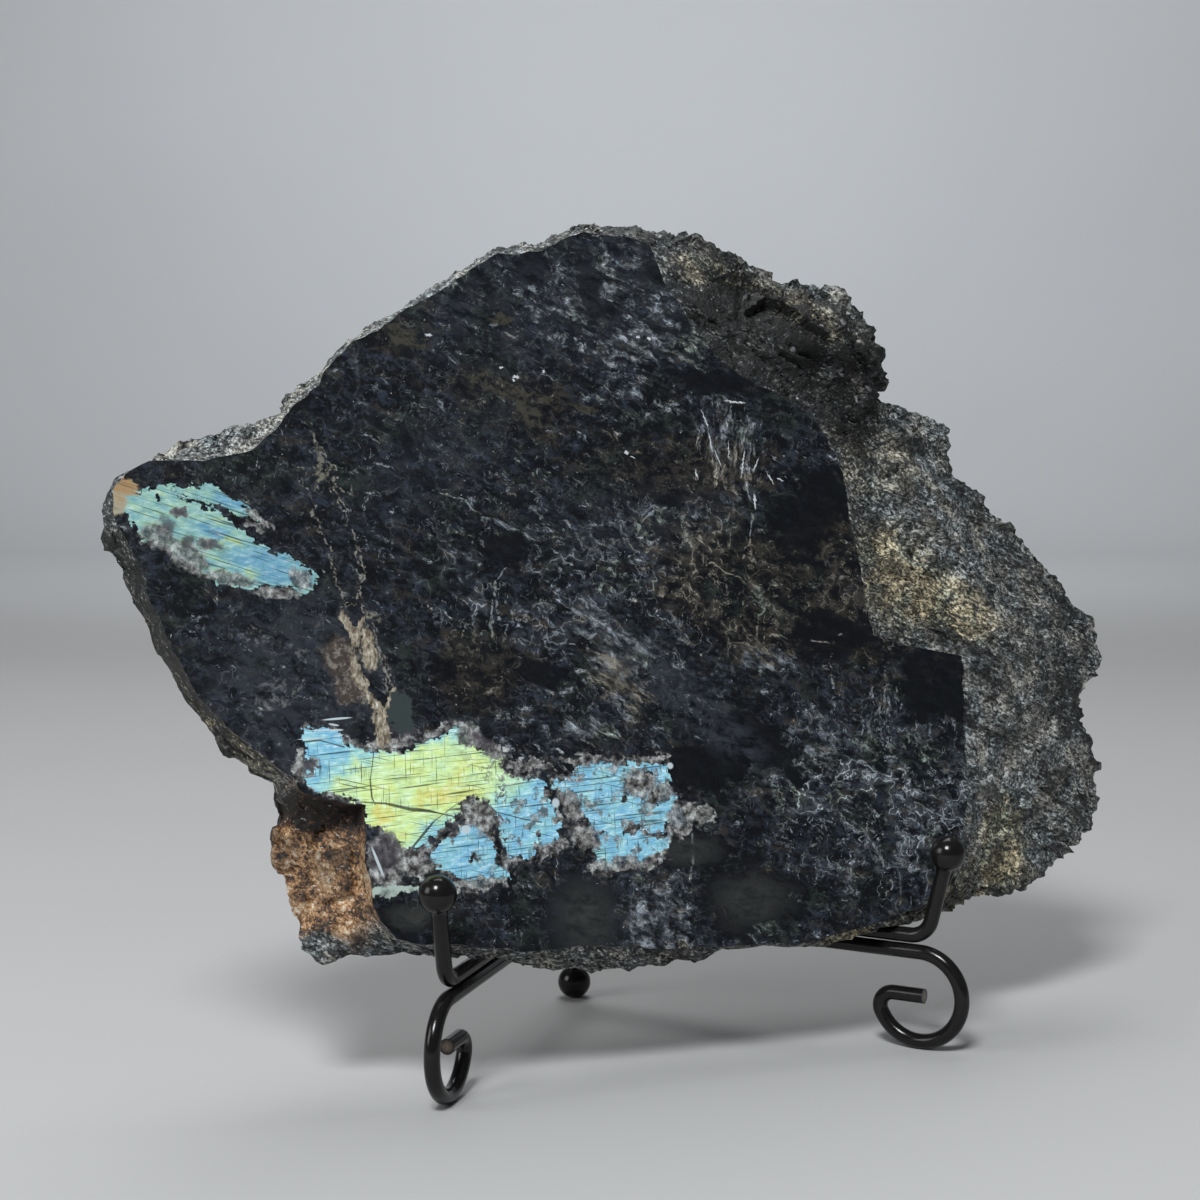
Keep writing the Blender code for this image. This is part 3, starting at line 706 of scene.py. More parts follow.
def nudge(place, pattern, amount):
    """Moves places by up to half of amount each way, as a colour pattern says."""
    moved = place.node("ShaderNodeVectorMath", {"operation": "MULTIPLY_ADD"},
                       {0: pattern, 1: (amount,) * 3, 2: (-amount / 2,) * 3})
    return place.node("ShaderNodeVectorMath", {"operation": "ADD"}, {0: place, 1: moved})


def split(place):
    """The across, behind and up fields of a place."""
    return [place.node("ShaderNodeSeparateXYZ", {}, {0: place}, part) for part in range(3)]


def follow(value, points):
    """Height of a broken line above a value: straight between its (value, height) points."""
    starts = [point[0] for point in points]
    heights = [point[1] for point in points]
    first, wide = min(starts), max(starts) - min(starts)
    low, tall = min(heights), max(heights) - min(heights)
    shares = [((start - first) / wide, (height - low) / tall) for start, height in points]
    along = (value - first) / wide
    line = value.node("ShaderNodeFloatCurve", {"points": shares}, {"Value": along})
    return line * tall + low


def outside(value, line):
    """0 along a broken line's run, growing by the distance beyond its ends."""
    first, last = line[0][0], line[-1][0]
    return most(first - value, value - last, 0.0 * value)


def between(across, up, top, bottom):
    """Millimetres inside a shape that lies between a top line and a bottom line."""
    return least(follow(across, top) - up, up - follow(across, bottom),
                 across - top[0][0], top[-1][0] - across)


def nearest_line(place, upright, level):
    """Distance in mm from the nearest of many lines: upright ones are rows of (up, across)
    points, level ones are rows of (across, up) points.
    """
    across, _, up = split(place)
    nearest = 0.0 * across + 50.0
    for line in upright:
        nearest = least(nearest, abs(across - follow(up, line)) + outside(up, line))
    for line in level:
        nearest = least(nearest, abs(up - follow(across, line)) + outside(across, line))
    return nearest


def block(place, across, up, half_across, half_up):
    """Distance from the middle of a square-cornered patch of the face: 1 at its edge."""
    x, _, y = split(place)
    return most(abs(x - across) / half_across, abs(y - up) / half_up)


def spots(place, rows):
    """Distance from the nearest of several ellipses on the face, each a row of its middle
    across and up, its half sizes in mm and its turn in degrees: 1 at a rim, and up to 3.
    """
    nearest = None
    for across, up, half_across, half_up, turn in rows:
        inside = place.node("ShaderNodeMapping", {"vector_type": "TEXTURE"},
                            {"Vector": place, "Location": (across, 0.0, up),
                             "Rotation": (0.0, -radians(turn), 0.0),
                             "Scale": (3 * half_across, 180.0, 3 * half_up)})
        near = inside.node("ShaderNodeTexGradient", {"gradient_type": "SPHERICAL"},
                           {"Vector": inside}, 1)
        nearest = most(nearest, near) if nearest else near
    return 3.0 - nearest * 3.0


def marks(place, rows, start, end):
    """Fades from 0 at one distance from the nearest of several ellipses to 1 at another."""
    return fade(spots(place, rows), start, end)


def near_region(across, up, region, margin):
    """Whether a place lies in a region of the face, or within a margin in mm of it."""
    first, last, low, high = region
    return first - margin < across < last + margin and low - margin < up < high + margin


def reaching(rows, region):
    """Rows of ellipses that reach into a region of the face, or come near it."""
    return [row for row in rows
            if near_region(row[0], row[1], region, REGION_MARGIN + max(row[2:4]))]


def lines_reaching(lines, region, upright):
    """Lines that have a point in a region of the face, or near it."""
    return [line for line in lines
            if any(near_region(*(point[::-1] if upright else point), region, REGION_MARGIN)
                   for point in line)]


def flash_colour(place, hue, lines):
    """Painted sheen of the flash for a hue from 0, blue, to 1, orange, dimmed by dark fine lines.
    """
    colour = ramp(hue, FLASH_RAMP)
    cloud = noise(stretch(place, 2, 4.0, 1.3), 1.0, 3.0, 0.68)
    colour = tint(fade(cloud, 0.48, 0.70) * 0.55, colour, FLASH_PALE)
    return shade(colour, (0.40 + cloud * 1.26) * (1.0 - lines * 0.78))


def crystals(place, colour, amount):
    """Lays grey cloudy crystals with dark cracks over a colour."""
    cloud = noise(place, 2.6, 3.0, 0.7)
    return tint(amount, colour, ramp(cloud, CRYSTAL_RAMP))


def low_flash(place, rough_place, colour):
    """The large patch with its holes, cracks and the crystals round it, over a colour."""
    across, _, up = split(rough_place)
    inside = most(between(across, up, LOBE_TOP, LOBE_BOTTOM),
                  between(across, up, LOW_LOBE_TOP, LOW_LOBE_BOTTOM),
                  between(across, up, RIGHT_LOBE_TOP, RIGHT_LOBE_BOTTOM))
    depth = least(inside, (spots(rough_place, FLASH_HOLES) - 1.0) * 2.0)
    broken = fade(across, -74, -52) * fade(inside, -4.0, -0.5)
    broken = broken * fade(noise(rough_place, 4.2, 2.0, 0.6), 0.54, 0.60)
    grey = most(broken * 0.9, marks(rough_place, FLASH_CRYSTALS, 1.08, 0.85))
    ring = fade(depth, -2.2, -0.4) * fade(noise(place, 4.0, 2.0), 0.42, 0.56)
    colour = crystals(place, colour, most(ring, grey))
    yellow = marks(rough_place, LOW_YELLOW, 1.15, 0.6)
    green = marks(rough_place, LOW_GREEN, 1.2, 0.5)
    orange = marks(rough_place, LOW_ORANGE, 1.3, 0.4)
    peak = marks(rough_place, LOW_PEAK, 1.2, 0.3)
    drift = noise(place, 6.0, 3.0) - 0.5
    hue = most(yellow, green) * 0.62 + orange * 0.22 + peak * 0.25 + drift * 0.8 + 0.06
    lines = most(streaks(place, 3, 18.0, 0.50, 0.56, 0.68),
                 streaks(place, 87, 8.0, 0.55, 0.62, 0.72) * 0.9,
                 streaks(place, -16, 20.0, 0.42, 0.66, 0.72))
    cover = fade(depth, -0.05, 0.35) * (1.0 - grey * 0.92)
    colour = tint(cover, colour, flash_colour(place, hue, lines))
    strip = marks(rough_place, LOW_STRIP, 1.15, 0.8)
    colour = tint(strip * fade(drift, -0.3, 0.0), colour, FLASH_STRIP)
    mauve = marks(rough_place, LOW_MAUVE, 1.2, 0.6)
    colour = tint(mauve * 0.8, colour, shade((*CRYSTAL_MAUVE, 1.0), 1.0 + drift * 3.0))
    needles = marks(place, FLASH_NEEDLES, 1.2, 0.7)
    colour = tint(needles * 0.9, colour, NEEDLE_WHITE)
    wide = fade(across, -94, -88) * fade(across, -74, -80) * 0.3
    crack = nearest_line(place, UPRIGHT_CRACKS, LEVEL_CRACKS) - wide - drift * 0.5
    return tint(fade(crack, 0.34, 0.06) * cover * 0.85, colour, CRACK_DARK)


def tip_flash(place, rough_place, colour):
    """The patch at the left tip with its slits, crystals and tan corner, over a colour."""
    across, _, up = split(rough_place)
    blade = between(across, up, BLADE_TOP, BLADE_BOTTOM)
    body = least(between(across, up, TIP_TOP, TIP_BOTTOM),
                 (spots(rough_place, TIP_SLITS) - 1.0) * 2.0)
    cover = fade(most(body, blade), -0.05, 0.3)
    blue = marks(rough_place, TIP_BLUE, 1.4, 0.5)
    green = marks(rough_place, TIP_GREEN, 1.3, 0.3)
    drift = noise(stretch(place, -20, 6.0, 1.6), 1.0, 2.0) - 0.5
    hue = 0.32 - blue * 0.34 + green * 0.34 + drift * 0.7
    lines = most(streaks(place, -20, 16.0, 0.5, 0.56, 0.68),
                 streaks(place, 70, 4.0, 0.4, 0.66, 0.74) * 0.5)
    flash = shade(flash_colour(place, hue, lines), 0.66 + drift * 0.3)
    colour = tint(cover, colour, flash)
    broken = nudge(place, noise(place, 3.0, 2.0, 0.6, 1), 5.0)
    grey = marks(broken, TIP_CRYSTALS, 1.1, 0.7)
    colour = crystals(place, colour, grey * 0.85)
    mauve = marks(broken, TIP_MAUVE, 1.3, 0.4)
    colour = tint(mauve * 0.85, colour, CRYSTAL_MAUVE)
    corner = marks(rough_place, TIP_CORNER, 1.12, 0.75)
    warm = tint(fade(up + drift * 14, 135, 142), *TIP_TAN)
    return tint(corner, colour, shade(warm, 1.0 - lines * 0.4))


def vein_crystal(place):
    """Tan, brown and white facets of the vein."""
    return ramp(noise(stretch(place, 80, 3.0, 1.3), 1.0, 3.0, 0.7), VEIN_RAMP)


def vein_foot(place, rough_place, colour):
    """The forked lower end of the brown vein, just above the flash, over a colour."""
    crystal = marks(rough_place, VEIN_CRYSTALS[4:], 1.15, 0.8)
    colour = tint(crystal, colour, vein_crystal(place))
    return tint(marks(rough_place, VEIN_OVAL, 1.05, 0.9), colour, OVAL_GREY)


def veins(place, rough_place, colour):
    """Tan crystals in the brown vein and the pale strands above it, over a colour."""
    strands = nearest_line(rough_place, VEIN_STRANDS, ())
    cloud = noise(place, 2.4, 3.0, 0.7)
    veil = marks(rough_place, VEIN_VEIL, 1.15, 0.6)
    colour = tint(veil * 0.8, colour, tint(fade(cloud, 0.46, 0.66), *VEIN_SMOKE))
    crystal = marks(rough_place, VEIN_CRYSTALS, 1.15, 0.8)
    colour = tint(crystal, colour, vein_crystal(place))
    line = fade(strands, 0.60, 0.12) * fade(cloud, 0.38, 0.58)
    colour = tint(line * 0.62, colour, tint(fade(cloud, 0.4, 0.6), *STRAND_TAN))
    star = marks(rough_place, VEIN_STARS, 1.2, 0.7)
    colour = tint(star * fade(cloud, 0.40, 0.56) * 0.55, colour, STAR_TAN)
    colour = tint(marks(rough_place, VEIN_OVAL, 1.05, 0.9), colour, OVAL_GREY)
    haze = marks(rough_place, VEIN_HAZES, 1.2, 0.5)
    return tint(haze * fade(cloud, 0.46, 0.66) * 0.6, colour, THIN_GREY)


def felt(bent, calm):
    """Matted thin crystals: small tufts, leaning wisps, upright strands, nets and sparks, each
    thickest in its own zones. None lie on the smooth dark places, where calm is 0.
    """
    thick = attribute(bent, "thick")
    tufts = fade(feathers(bent, -25, 7.0, 4.5) + thick * 0.75, 1.75, 4.6)
    wisps = fade(feathers(bent, -38, 14.0, 4.5) + attribute(bent, "wisps") * 1.1, 2.0, 4.6)
    strands = fade(feathers(bent, 82, 12.0, 3.4) + attribute(bent, "strands"), 2.1, 4.4)
    grain = noise(bent, 1.1, 2.0, 0.65)
    cluster = noise(bent, 8.0, 2.0, 0.6)
    fine = nudge(bent, noise(bent, 2.0, 1.0, 0.6, 1), 1.1)
    long_lines = abs(noise(fine, 20.0, 4.0, 0.55) - 0.5)
    short_lines = abs(noise(fine, 11.0, 4.0, 0.60) - 0.47)
    net = most(fade(long_lines, 0.009, 0.0), fade(short_lines, 0.012, 0.0) * 0.75)
    net = most(net * fade(noise(bent, 2.4, 2.0), 0.34, 0.56), fade(long_lines, 0.05, 0.0) * 0.14)
    net = net * fade(cluster, 0.34, 0.54) * attribute(bent, "nets")
    sparks = fade(grain + cluster * 0.30 + thick * 0.03, 0.88, 0.96)
    bright = most(tufts, wisps, strands, net, sparks * 0.8)
    return bright * (0.03 + calm * 0.97)


def polished_face_material(name, region, *overlays):
    """Polished front: black with matted fibres and pale lines, then what lies over them.
    A region of the face (least and most across, least and most up) keeps only its own marks.
    """
    material, shader, field = new_material(name)
    place = face_place(field)
    bent = nudge(place, noise(place, 6.0, 2.0, 0.6, 1), 4.5)
    warmth = attribute(field, "warmth")
    cloud = noise(stretch(bent, -18, 9.0, 4.0), 1.0, 4.0, 0.70)
    ground = tint(fade(cloud + warmth * 0.22, 0.46, 0.66), BLUE_BLACK, BROWN_BLACK)
    ground = tint(fade(noise(bent, 19.0, 1.0), 0.52, 0.64), ground, GREEN_BLACK)
    calm = fade(block(bent, *DARK_BLOCK) + (cloud - 0.5) * 1.6, 0.80, 1.20)
    here = reaching(CALM_PLACES, region)
    if here:
        calm = calm * fade(spots(bent, here) + (cloud - 0.5) * 2.2, 0.78, 1.25)
    clumps = feathers(bent, -20, 7.0, 4.0)
    gaps = noise(stretch(bent, -17, 11.0, 2.6), 1.0, 3.0, 0.60)
    gaps = fade(gaps + attribute(field, "gaps") * 0.10, 0.60, 0.68)
    calm = calm * (1.0 - gaps * 0.9)
    lift = fade(clumps + (cloud - 0.5) * 2.0, 0.45, 2.1) * (0.18 + calm * 0.82)
    haze = attribute(field, "haze") * fade(cloud, 0.36, 0.62)
    colour = tint(haze, tint(lift, DEEP_BLACK, ground), HAZE_BLUE)
    bright = felt(bent, calm)
    drawn = nearest_line(bent, lines_reaching(UPRIGHT_LINES, region, True),
                         lines_reaching(LEVEL_LINES, region, False))
    drawn = fade(drawn, 0.5, 0.1) * fade(clumps, 0.7, 1.5) * 0.6
    bright = most(bright, drawn)
    hair = tint(fade(cloud + warmth * 0.3, 0.50, 0.70), FIBRE_GREY, FIBRE_BROWN)
    hair = tint(fade(noise(place, 15.0, 1.0), 0.56, 0.66), hair, FIBRE_GREEN)
    hair = tint(fade(bright, 0.70, 1.0) * 0.4, hair, MINERAL_AND_GLINT_WHITE)
    colour = tint(bright, colour, hair)
    here = reaching(OLIVE_PLACES, region)
    if here:
        smooth = fade(spots(bent, here) + (cloud - 0.5) * 2.6, 1.2, 0.5)
        colour = tint(smooth * 0.85, colour, tint(fade(cloud, 0.3, 0.7), *SMOOTH_OLIVE))
    here = reaching(OLIVE_SMEARS, region)
    if here:
        smear = fade(spots(bent, here) - (clumps - 1.0) * 0.3, 1.15, 0.75)
        colour = tint(smear * fade(clumps, 0.3, 1.3) * 0.9, colour, OLIVE)
    here = reaching(FACE_NEEDLES_AND_GLINTS, region)
    if here:
        # White needle crystals, and painted glints of flat crystals
        torn = nudge(place, noise(place, 0.9, 1.0, 0.6, 1), 1.3)
        colour = tint(marks(torn, here, 1.15, 0.55) * 0.85, colour, MINERAL_AND_GLINT_WHITE)
    if overlays:
        rough_place = nudge(bent, cell_colours(place, 1.9), 1.7)
        rough_place = nudge(rough_place, noise(place, 1.1, 1.0, 0.6, 1), 1.5)
    for overlay in overlays:
        colour = overlay(place, rough_place, colour)
    plug(shader, "Base Color", colour)
    worn = noise(place, 6.0, 2.0, 0.6)
    plug(shader, "Roughness", 0.20 + worn * 0.18 + bright * 0.15)
    shader.inputs["Specular IOR Level"].default_value = 0.28
    plug(shader, "Normal", relief_normal(noise(place, 1.1, 1.0, 0.6), 0.12, 0.2))
    return material


def rust(field, bent, grain, colour):
    """Rust-brown grains of the broken corner, over a colour, with painted shadow at its top under
    the face's ledge.
    """
    tone = noise(bent, 5.0, 4.0, 0.70) * 1.15 + grain * 0.85 - 0.445
    tone = tone - attribute(field, "dark") * 0.20
    return tint(attribute(field, "rust"), colour, ramp(tone, RUST_RAMP))


def rock_material(name, *overlays):
    """Broken rock: grey-green and black grains, stains and pale places, with painted glints,
    painted shade in its hollows and painted shadow in some dark zones.
    """
    material, shader, field = new_material(name)
    place = face_place(field)
    bent = nudge(place, noise(place, 6.0, 2.0, 0.6, 1), 4.5)
    fine = nudge(place, noise(place, 2.0, 1.0, 0.6, 1), 1.0)
    hollow = attribute(field, "hollow")
    dark = attribute(field, "dark")
    grain = noise(stretch(fine, -30, 1.6, 1.0), 1.0, 2.0, 0.80)
    cloud = noise(bent, 10.0, 3.0, 0.6)
    level = (grain - 0.5) * 3.1 + (feathers(fine, -30, 9.0, 5.0) - 1.0) * 0.18
    # Darker in the dark zones: black blades and dark rock, and painted shadow under the face's
    # ledge
    level = level + (cloud - 0.5) * 1.1 + 0.48 + attribute(field, "pale") * 0.12 - dark * 0.24
    colour = ramp(level, ROCK_RAMP)
    brown = fade(cloud + attribute(field, "ochre") * 0.12, 0.50, 0.66)
    colour = tint(brown * 0.35, colour, stain(colour, BROWN_STAIN))
    colour = tint(fade(cloud, 0.52, 0.38) * 0.6, colour, stain(colour, BLUE_STAIN))
    ochre = attribute(field, "ochre") * fade(grain, 0.30, 0.5)
    colour = tint(ochre, colour, stain(colour, OCHRE_STAIN))
    layers = noise(stretch(bent, -25, 8.0, 1.9), 1.0, 3.0, 0.60)
    bands = noise(stretch(bent, -22, 18.0, 3.8), 1.0, 3.0, 0.60)
    gloom = most(fade(layers + dark * 0.05, 0.57, 0.66) * 0.68,
                 fade(bands + dark * 0.14, 0.60, 0.67) * 0.85)
    colour = shade(colour, 1.0 - gloom)
    for overlay in overlays:
        colour = overlay(field, bent, grain, colour)
    # Painted highlights: white glints of cleavage faces put into the colour, which are also less
    # rough
    painted_glint = fade(noise(stretch(place, -30, 1.9, 0.9), 1.0, 1.0), 0.71, 0.78)
    painted_glint = most(painted_glint, marks(fine, PAINTED_ROCK_GLINTS, 1.1, 0.6))
    colour = tint(painted_glint * 0.8, colour, MINERAL_AND_GLINT_WHITE)
    # Painted shade: darker in the hollows of the broken relief and lighter on its ridges
    colour = shade(colour, fade(hollow, 0.12, 0.72) * 0.88 + 0.18)
    plug(shader, "Base Color", colour)
    plug(shader, "Roughness", 0.60 - painted_glint * 0.35)
    plug(shader, "Normal", relief_normal(noise(place, 1.2, 3.0, 0.75), 0.75, 1.1))
    return material


def stone_finishes():
    """The stone's finishes by name: one for each part of the face, then its broken rock."""
    overlays = {"vein": (veins,), "tip": (tip_flash, veins), "flash": (low_flash, vein_foot)}
    finishes = {}
    for part, region in FACE_REGIONS.items():
        title = "polished_stone_" + part.replace(" ", "_")
        finishes[part] = polished_face_material(title, region, *overlays.get(part, ()))
    finishes["rock"] = rock_material("broken_dark_stone")
    finishes["corner"] = rock_material("rusty_broken_stone", rust)
    return finishes


def paint_material():
    """Black gloss paint on wire, a little uneven, worn to brown steel at the cut ends."""
    material, shader, field = new_material("black_gloss_paint")
    position = field.node("ShaderNodeTexCoord", {}, {}, "Object")
    place = field.node("ShaderNodeVectorMath", {"operation": "SCALE"},
                       {0: position, "Scale": 1.0 / MM})
    bare = attribute(field, "bare")
    cloud = noise(place, 5.0, 3.0, 0.6)
    colour = tint(cloud, *PAINT_BLACK)
    steel = tint(noise(place, 0.7, 3.0, 0.6), *BARE_STEEL)
    plug(shader, "Base Color", tint(bare, colour, steel))
    plug(shader, "Metallic", bare * 0.7)
    plug(shader, "Roughness", 0.10 + cloud * 0.16 + bare * 0.25)
    shader.inputs["Specular IOR Level"].default_value = 0.3
    plug(shader, "Normal", relief_normal(noise(place, 2.4, 2.0), 0.12, 0.3))
    return material


def floor_material():
    """Pale matt floor with a faint unevenness."""
    material, shader, field = new_material("pale_floor")
    position = field.node("ShaderNodeTexCoord", {}, {}, "Object")
    cloud = noise(position, 0.6, 2.0)
    plug(shader, "Base Color", tint(cloud, *FLOOR_GREY))
    shader.inputs["Roughness"].default_value = 0.7
    return material


def add_piece(name, points, triangles, materials):
    """A mesh piece from points in millimetres in the object's frame, shaded smooth."""
    mesh = bpy.data.meshes.new(name)
    mesh.from_pydata(points * MM, [], triangles)
    for material in materials:
        mesh.materials.append(material)
    mesh.shade_smooth()
    piece = bpy.data.objects.new(name, mesh)
    bpy.context.collection.objects.link(piece)
    return piece


def set_values(piece, name, values):
    """Stores one number for each point of a piece, for its material to read."""
    layer = piece.data.attributes.new(name, "FLOAT", "POINT")
    layer.data.foreach_set("value", np.ascontiguousarray(values, dtype=np.float32))


def hash_grid(ix, iy, iz, seed):
    """A fixed number from 0 to 1 for each whole-number place."""
    n = (ix * 374761393 + iy * 668265263 + iz * 2147483647 + seed * 974634777) & 0xFFFFFFFF
    n = ((n ^ (n >> 13)) * 1274126177) & 0xFFFFFFFF
    n = (n ^ (n >> 16)) & 0xFFFF
    return n / 65535.0


def lumps(points, size, seed):
    """Smooth bumps from -1 to 1: random values on a grid, blended between its corners."""
    cell = points / size
    low = np.floor(cell).astype(np.int64)
    part = cell - low
    part = part * part * (3.0 - 2.0 * part)
    total = np.zeros(points.shape[:-1])
    for dx in (0, 1):
        for dy in (0, 1):
            for dz in (0, 1):
                weight = np.abs(1 - dx - part[..., 0]) * np.abs(1 - dy - part[..., 1])
                weight = weight * np.abs(1 - dz - part[..., 2])
                total += weight * hash_grid(low[..., 0] + dx, low[..., 1] + dy,
                                            low[..., 2] + dz, seed)
    return total * 2.0 - 1.0


def sum_lumps(points, rows):
    """Adds up bumps: rows of their size in mm, seed and height."""
    return sum(height * lumps(points, size, seed) for size, seed, height in rows)


def chips(points, size, seed):
    """Broken flats from about -1 to 1: each place belongs to the nearest of many scattered
    centres, and its height is that of a plane through the centre that leans a random way.
    """
    cell = points / size
    low = np.floor(cell).astype(np.int64)
    nearest = np.full(points.shape[:-1], 1e9)
    height = np.zeros(points.shape[:-1])
    for dx in (-1, 0, 1):
        for dy in (-1, 0, 1):
            for dz in (-1, 0, 1):
                at = (low[..., 0] + dx, low[..., 1] + dy, low[..., 2] + dz)
                random = [hash_grid(*at, seed + k) for k in range(7)]
                centre = np.stack([at[k] + random[k] for k in range(3)], axis=-1)
                away = cell - centre
                far = np.sum(away * away, axis=-1)
                tilt = sum(away[..., k] * (random[3 + k] - 0.5) for k in range(3))
                here = tilt * 2.4 + (random[6] - 0.5) * 1.2
                closer = far < nearest
                height = np.where(closer, here, height)
                nearest = np.where(closer, far, nearest)
    return height


def ledges(points, turn, pitch, seed):
    """Overlapping layers from about -1 to 1. Across them the height is a saw: it jumps up at
    each layer's lower lip and falls away above it. Smooth lumps make the lips wander.
    """
    c, s = cos(radians(turn)), sin(radians(turn))
    along = points[..., 0] * c + points[..., 1] * s
    over = points[..., 1] * c - points[..., 0] * s
    long_points = np.stack([along / 2.6, over, points[..., 2]], axis=-1)
    t = over / pitch + sum_lumps(long_points, ((15.0, seed, 1.5), (5.5, seed + 1, 0.5)))
    part = t - np.floor(t)
    strength = 0.65 + 0.35 * lumps(long_points, 11.0, seed + 2)
    return (1.0 - 2.0 * part) * strength


def zone(points, across, up, half_across, half_up, turn=0.0):
    """1 at the middle of a turned ellipse on the face, easing to 0 at its rim."""
    x = points[..., 0] - across
    y = points[..., 1] - up
    c, s = cos(radians(turn)), sin(radians(turn))
    far = np.hypot((x * c + y * s) / half_across, (y * c - x * s) / half_up)
    part = np.clip((1.25 - far) / 0.7, 0, 1)
    return part * part * (3 - 2 * part)


def sum_zones(points, rows):
    """Adds up zones: rows of across, up, half sizes in mm, turn in degrees and amount."""
    total = np.zeros(len(points))
    for across, up, half_across, half_up, turn, amount in rows:
        total += amount * zone(points, across, up, half_across, half_up, turn)
    return total


def soften(values, share):
    """Gaussian average of a closed row, as wide as a share of the way round."""
    waves = np.fft.rfft(values)
    count = np.arange(len(waves))
    return np.fft.irfft(waves * np.exp(-2.0 * (pi * share * count) ** 2), len(values))


def polar(table, angles):
    """Reads an outline's distance from the face's middle, and its third value, at the angles."""
    across, up, third = np.array(table, dtype=float).T
    across = across - FACE_MIDDLE[0]
    up = up - FACE_MIDDLE[1]
    around = np.arctan2(up, across)
    reach = np.hypot(across, up)
    return (np.interp(angles, around, reach, period=2 * pi),
            np.interp(angles, around, third, period=2 * pi))


def even_angles(count):
    """Angles that cut the widest outline into equal lengths."""
    rows = np.array(OUTLINE, dtype=float)[:, :2]
    steps = np.hypot(*np.diff(np.vstack([rows, rows[:1]]), axis=0).T)
    along = np.concatenate([[0.0], np.cumsum(steps)])
    around = np.unwrap(np.arctan2(rows[:, 1] - FACE_MIDDLE[1], rows[:, 0] - FACE_MIDDLE[0]))
    around = np.append(around, around[0] - 2 * pi)
    return np.interp(np.linspace(0, along[-1], count, endpoint=False), along, around)


def plane_depth(across, up):
    """Depth of the back's broken planes: the least of all of them at a place on the face."""
    depths = [start + over * (across - FACE_MIDDLE[0]) + rise * (up - FACE_MIDDLE[1])
              for start, over, rise in BACK_PLANES]
    return np.min(depths, axis=0)


def stone_rings():
    """Rings of face coordinates (across, up, behind) in mm, from the face's middle to the
    back's, as one array of rings by points by three.

    The face is flat out to the polished edge. A small step goes down there, and the broken
    rim falls back to the widest outline. The wall then draws in, its outline growing
    smoother, and the back follows its broken planes. Also gives how rough each point is,
    how far chips may cut in, and how far it is past the polished edge.
    """
    angles = even_angles(AROUND)
    edge_r, edge_step = polar(POLISHED_EDGE, angles)
    wide_r, wide_d = polar(OUTLINE, angles)
    heading = np.stack([np.cos(angles), np.sin(angles)], axis=1)
    rim_place = np.column_stack([heading * wide_r[:, None], wide_d])
    nibble = sum_lumps(rim_place, NIBBLES)
    wide_r = wide_r + nibble * np.clip(0.25 + wide_d * 0.05, 0.4, 1.0)
    edge_place = np.column_stack([heading * edge_r[:, None], 0 * wide_d])
    edge_r = edge_r + sum_lumps(edge_place, EDGE_WAVES)
    edge_r = np.minimum(edge_r, wide_r - 0.8)
    right, above = np.clip(heading, 0, 1).T
    left, below = np.clip(-heading, 0, 1).T
    widest = heading * wide_r[:, None] + np.array(FACE_MIDDLE)
    back_d = np.maximum(plane_depth(*widest.T), wide_d + LEAST_WALL)
    draw_in = DRAW_IN @ np.stack([np.ones(AROUND), left, right, below, above])
    back_r = np.minimum(soften(wide_r, WALL_SOFTNESS), wide_r + 3.0)
    back_r -= draw_in * (back_d - wide_d)
    rim_width = wide_r - edge_r
    rows = []

    def add_ring(reach, depth, rough, inward, past):
        """One ring: a reach from the face's middle and a depth for each angle."""
        flat = heading * reach[:, None] + np.array(FACE_MIDDLE)
        rows.append(np.column_stack([flat, depth, rough, inward, past]))

    none = np.zeros(AROUND)
    for k in range(1, FACE_RINGS + 1):
        add_ring(edge_r * (k / FACE_RINGS) ** 0.9, none, none, none, none)
    for k in range(1, RIM_RINGS + 1):
        s = (k / RIM_RINGS) ** 1.2
        reach = edge_r + rim_width * s
        even = np.minimum(soften(reach, RIM_SOFTNESS), wide_r)
        reach = reach + (even - reach) * 2.4 * s * (1 - s)
        depth = edge_step * (1.0 - s) + wide_d * s ** 1.3
        rough = np.clip(rim_width / 30.0, 0.15, 1.0) * min(1.0, 3.0 * s, 3.3 - 3.0 * s)
        add_ring(reach, depth, rough, none, rim_width * s)
    for k in range(1, WALL_RINGS + 1):
        s = k / WALL_RINGS
        add_ring(wide_r + (back_r - wide_r) * s ** 1.5, wide_d + (back_d - wide_d) * s,
                 none + 0.3 + 0.7 * s, none + min(1.0, 2.0 * s), rim_width + 40.0 * s)
    for k in range(1, BACK_RINGS + 1):
        keep = 1.0 - 0.985 * k / BACK_RINGS
        reach = (back_r + (soften(back_r, BACK_SOFTNESS) - back_r) * (1 - keep)) * keep
        place = heading * reach[:, None] + np.array(FACE_MIDDLE)
        follow_planes = min(1.0, 2.0 * k / BACK_RINGS)
        depth = back_d + (plane_depth(*place.T) - back_d) * follow_planes
        add_ring(reach, depth, none + 1.2, none + keep, none + 90.0)
    rings = np.array(rows)
    return rings[..., :3], rings[..., 3], rings[..., 4], rings[..., 5]


def roughen(points, rough, inward):
    """The solids' own forms: broad and medium lumps and flat steps, in mm."""
    broad = lumps(points, 46.0, 3)
    medium = lumps(points, 23.0, 8)
    flat_steps = np.tanh(4.0 * lumps(points, 34.0, 15))
    moved = points.copy()
    moved[..., 2] += rough * (2.2 * broad + 2.0 * medium + 2.4 * flat_steps)
    moved[..., 2] = np.where(rough > 0, np.maximum(moved[..., 2], 0.4), moved[..., 2])
    outward = points[..., :2] - np.array(FACE_MIDDLE)
    outward = outward / np.maximum(np.hypot(outward[..., 0], outward[..., 1]), 1.0)[..., None]
    cut = inward * 1.8 * (2.0 - medium - flat_steps)
    moved[..., :2] -= outward * cut[..., None]
    return moved


def surface_normals(points):
    """Directions out of a grid of rings: across its two runs, from neighbouring points."""
    around = np.roll(points, -1, axis=1) - np.roll(points, 1, axis=1)
    inward = np.gradient(points, axis=0)
    normals = np.cross(around, inward)
    return normals / np.maximum(np.linalg.norm(normals, axis=-1, keepdims=True), 1e-6)


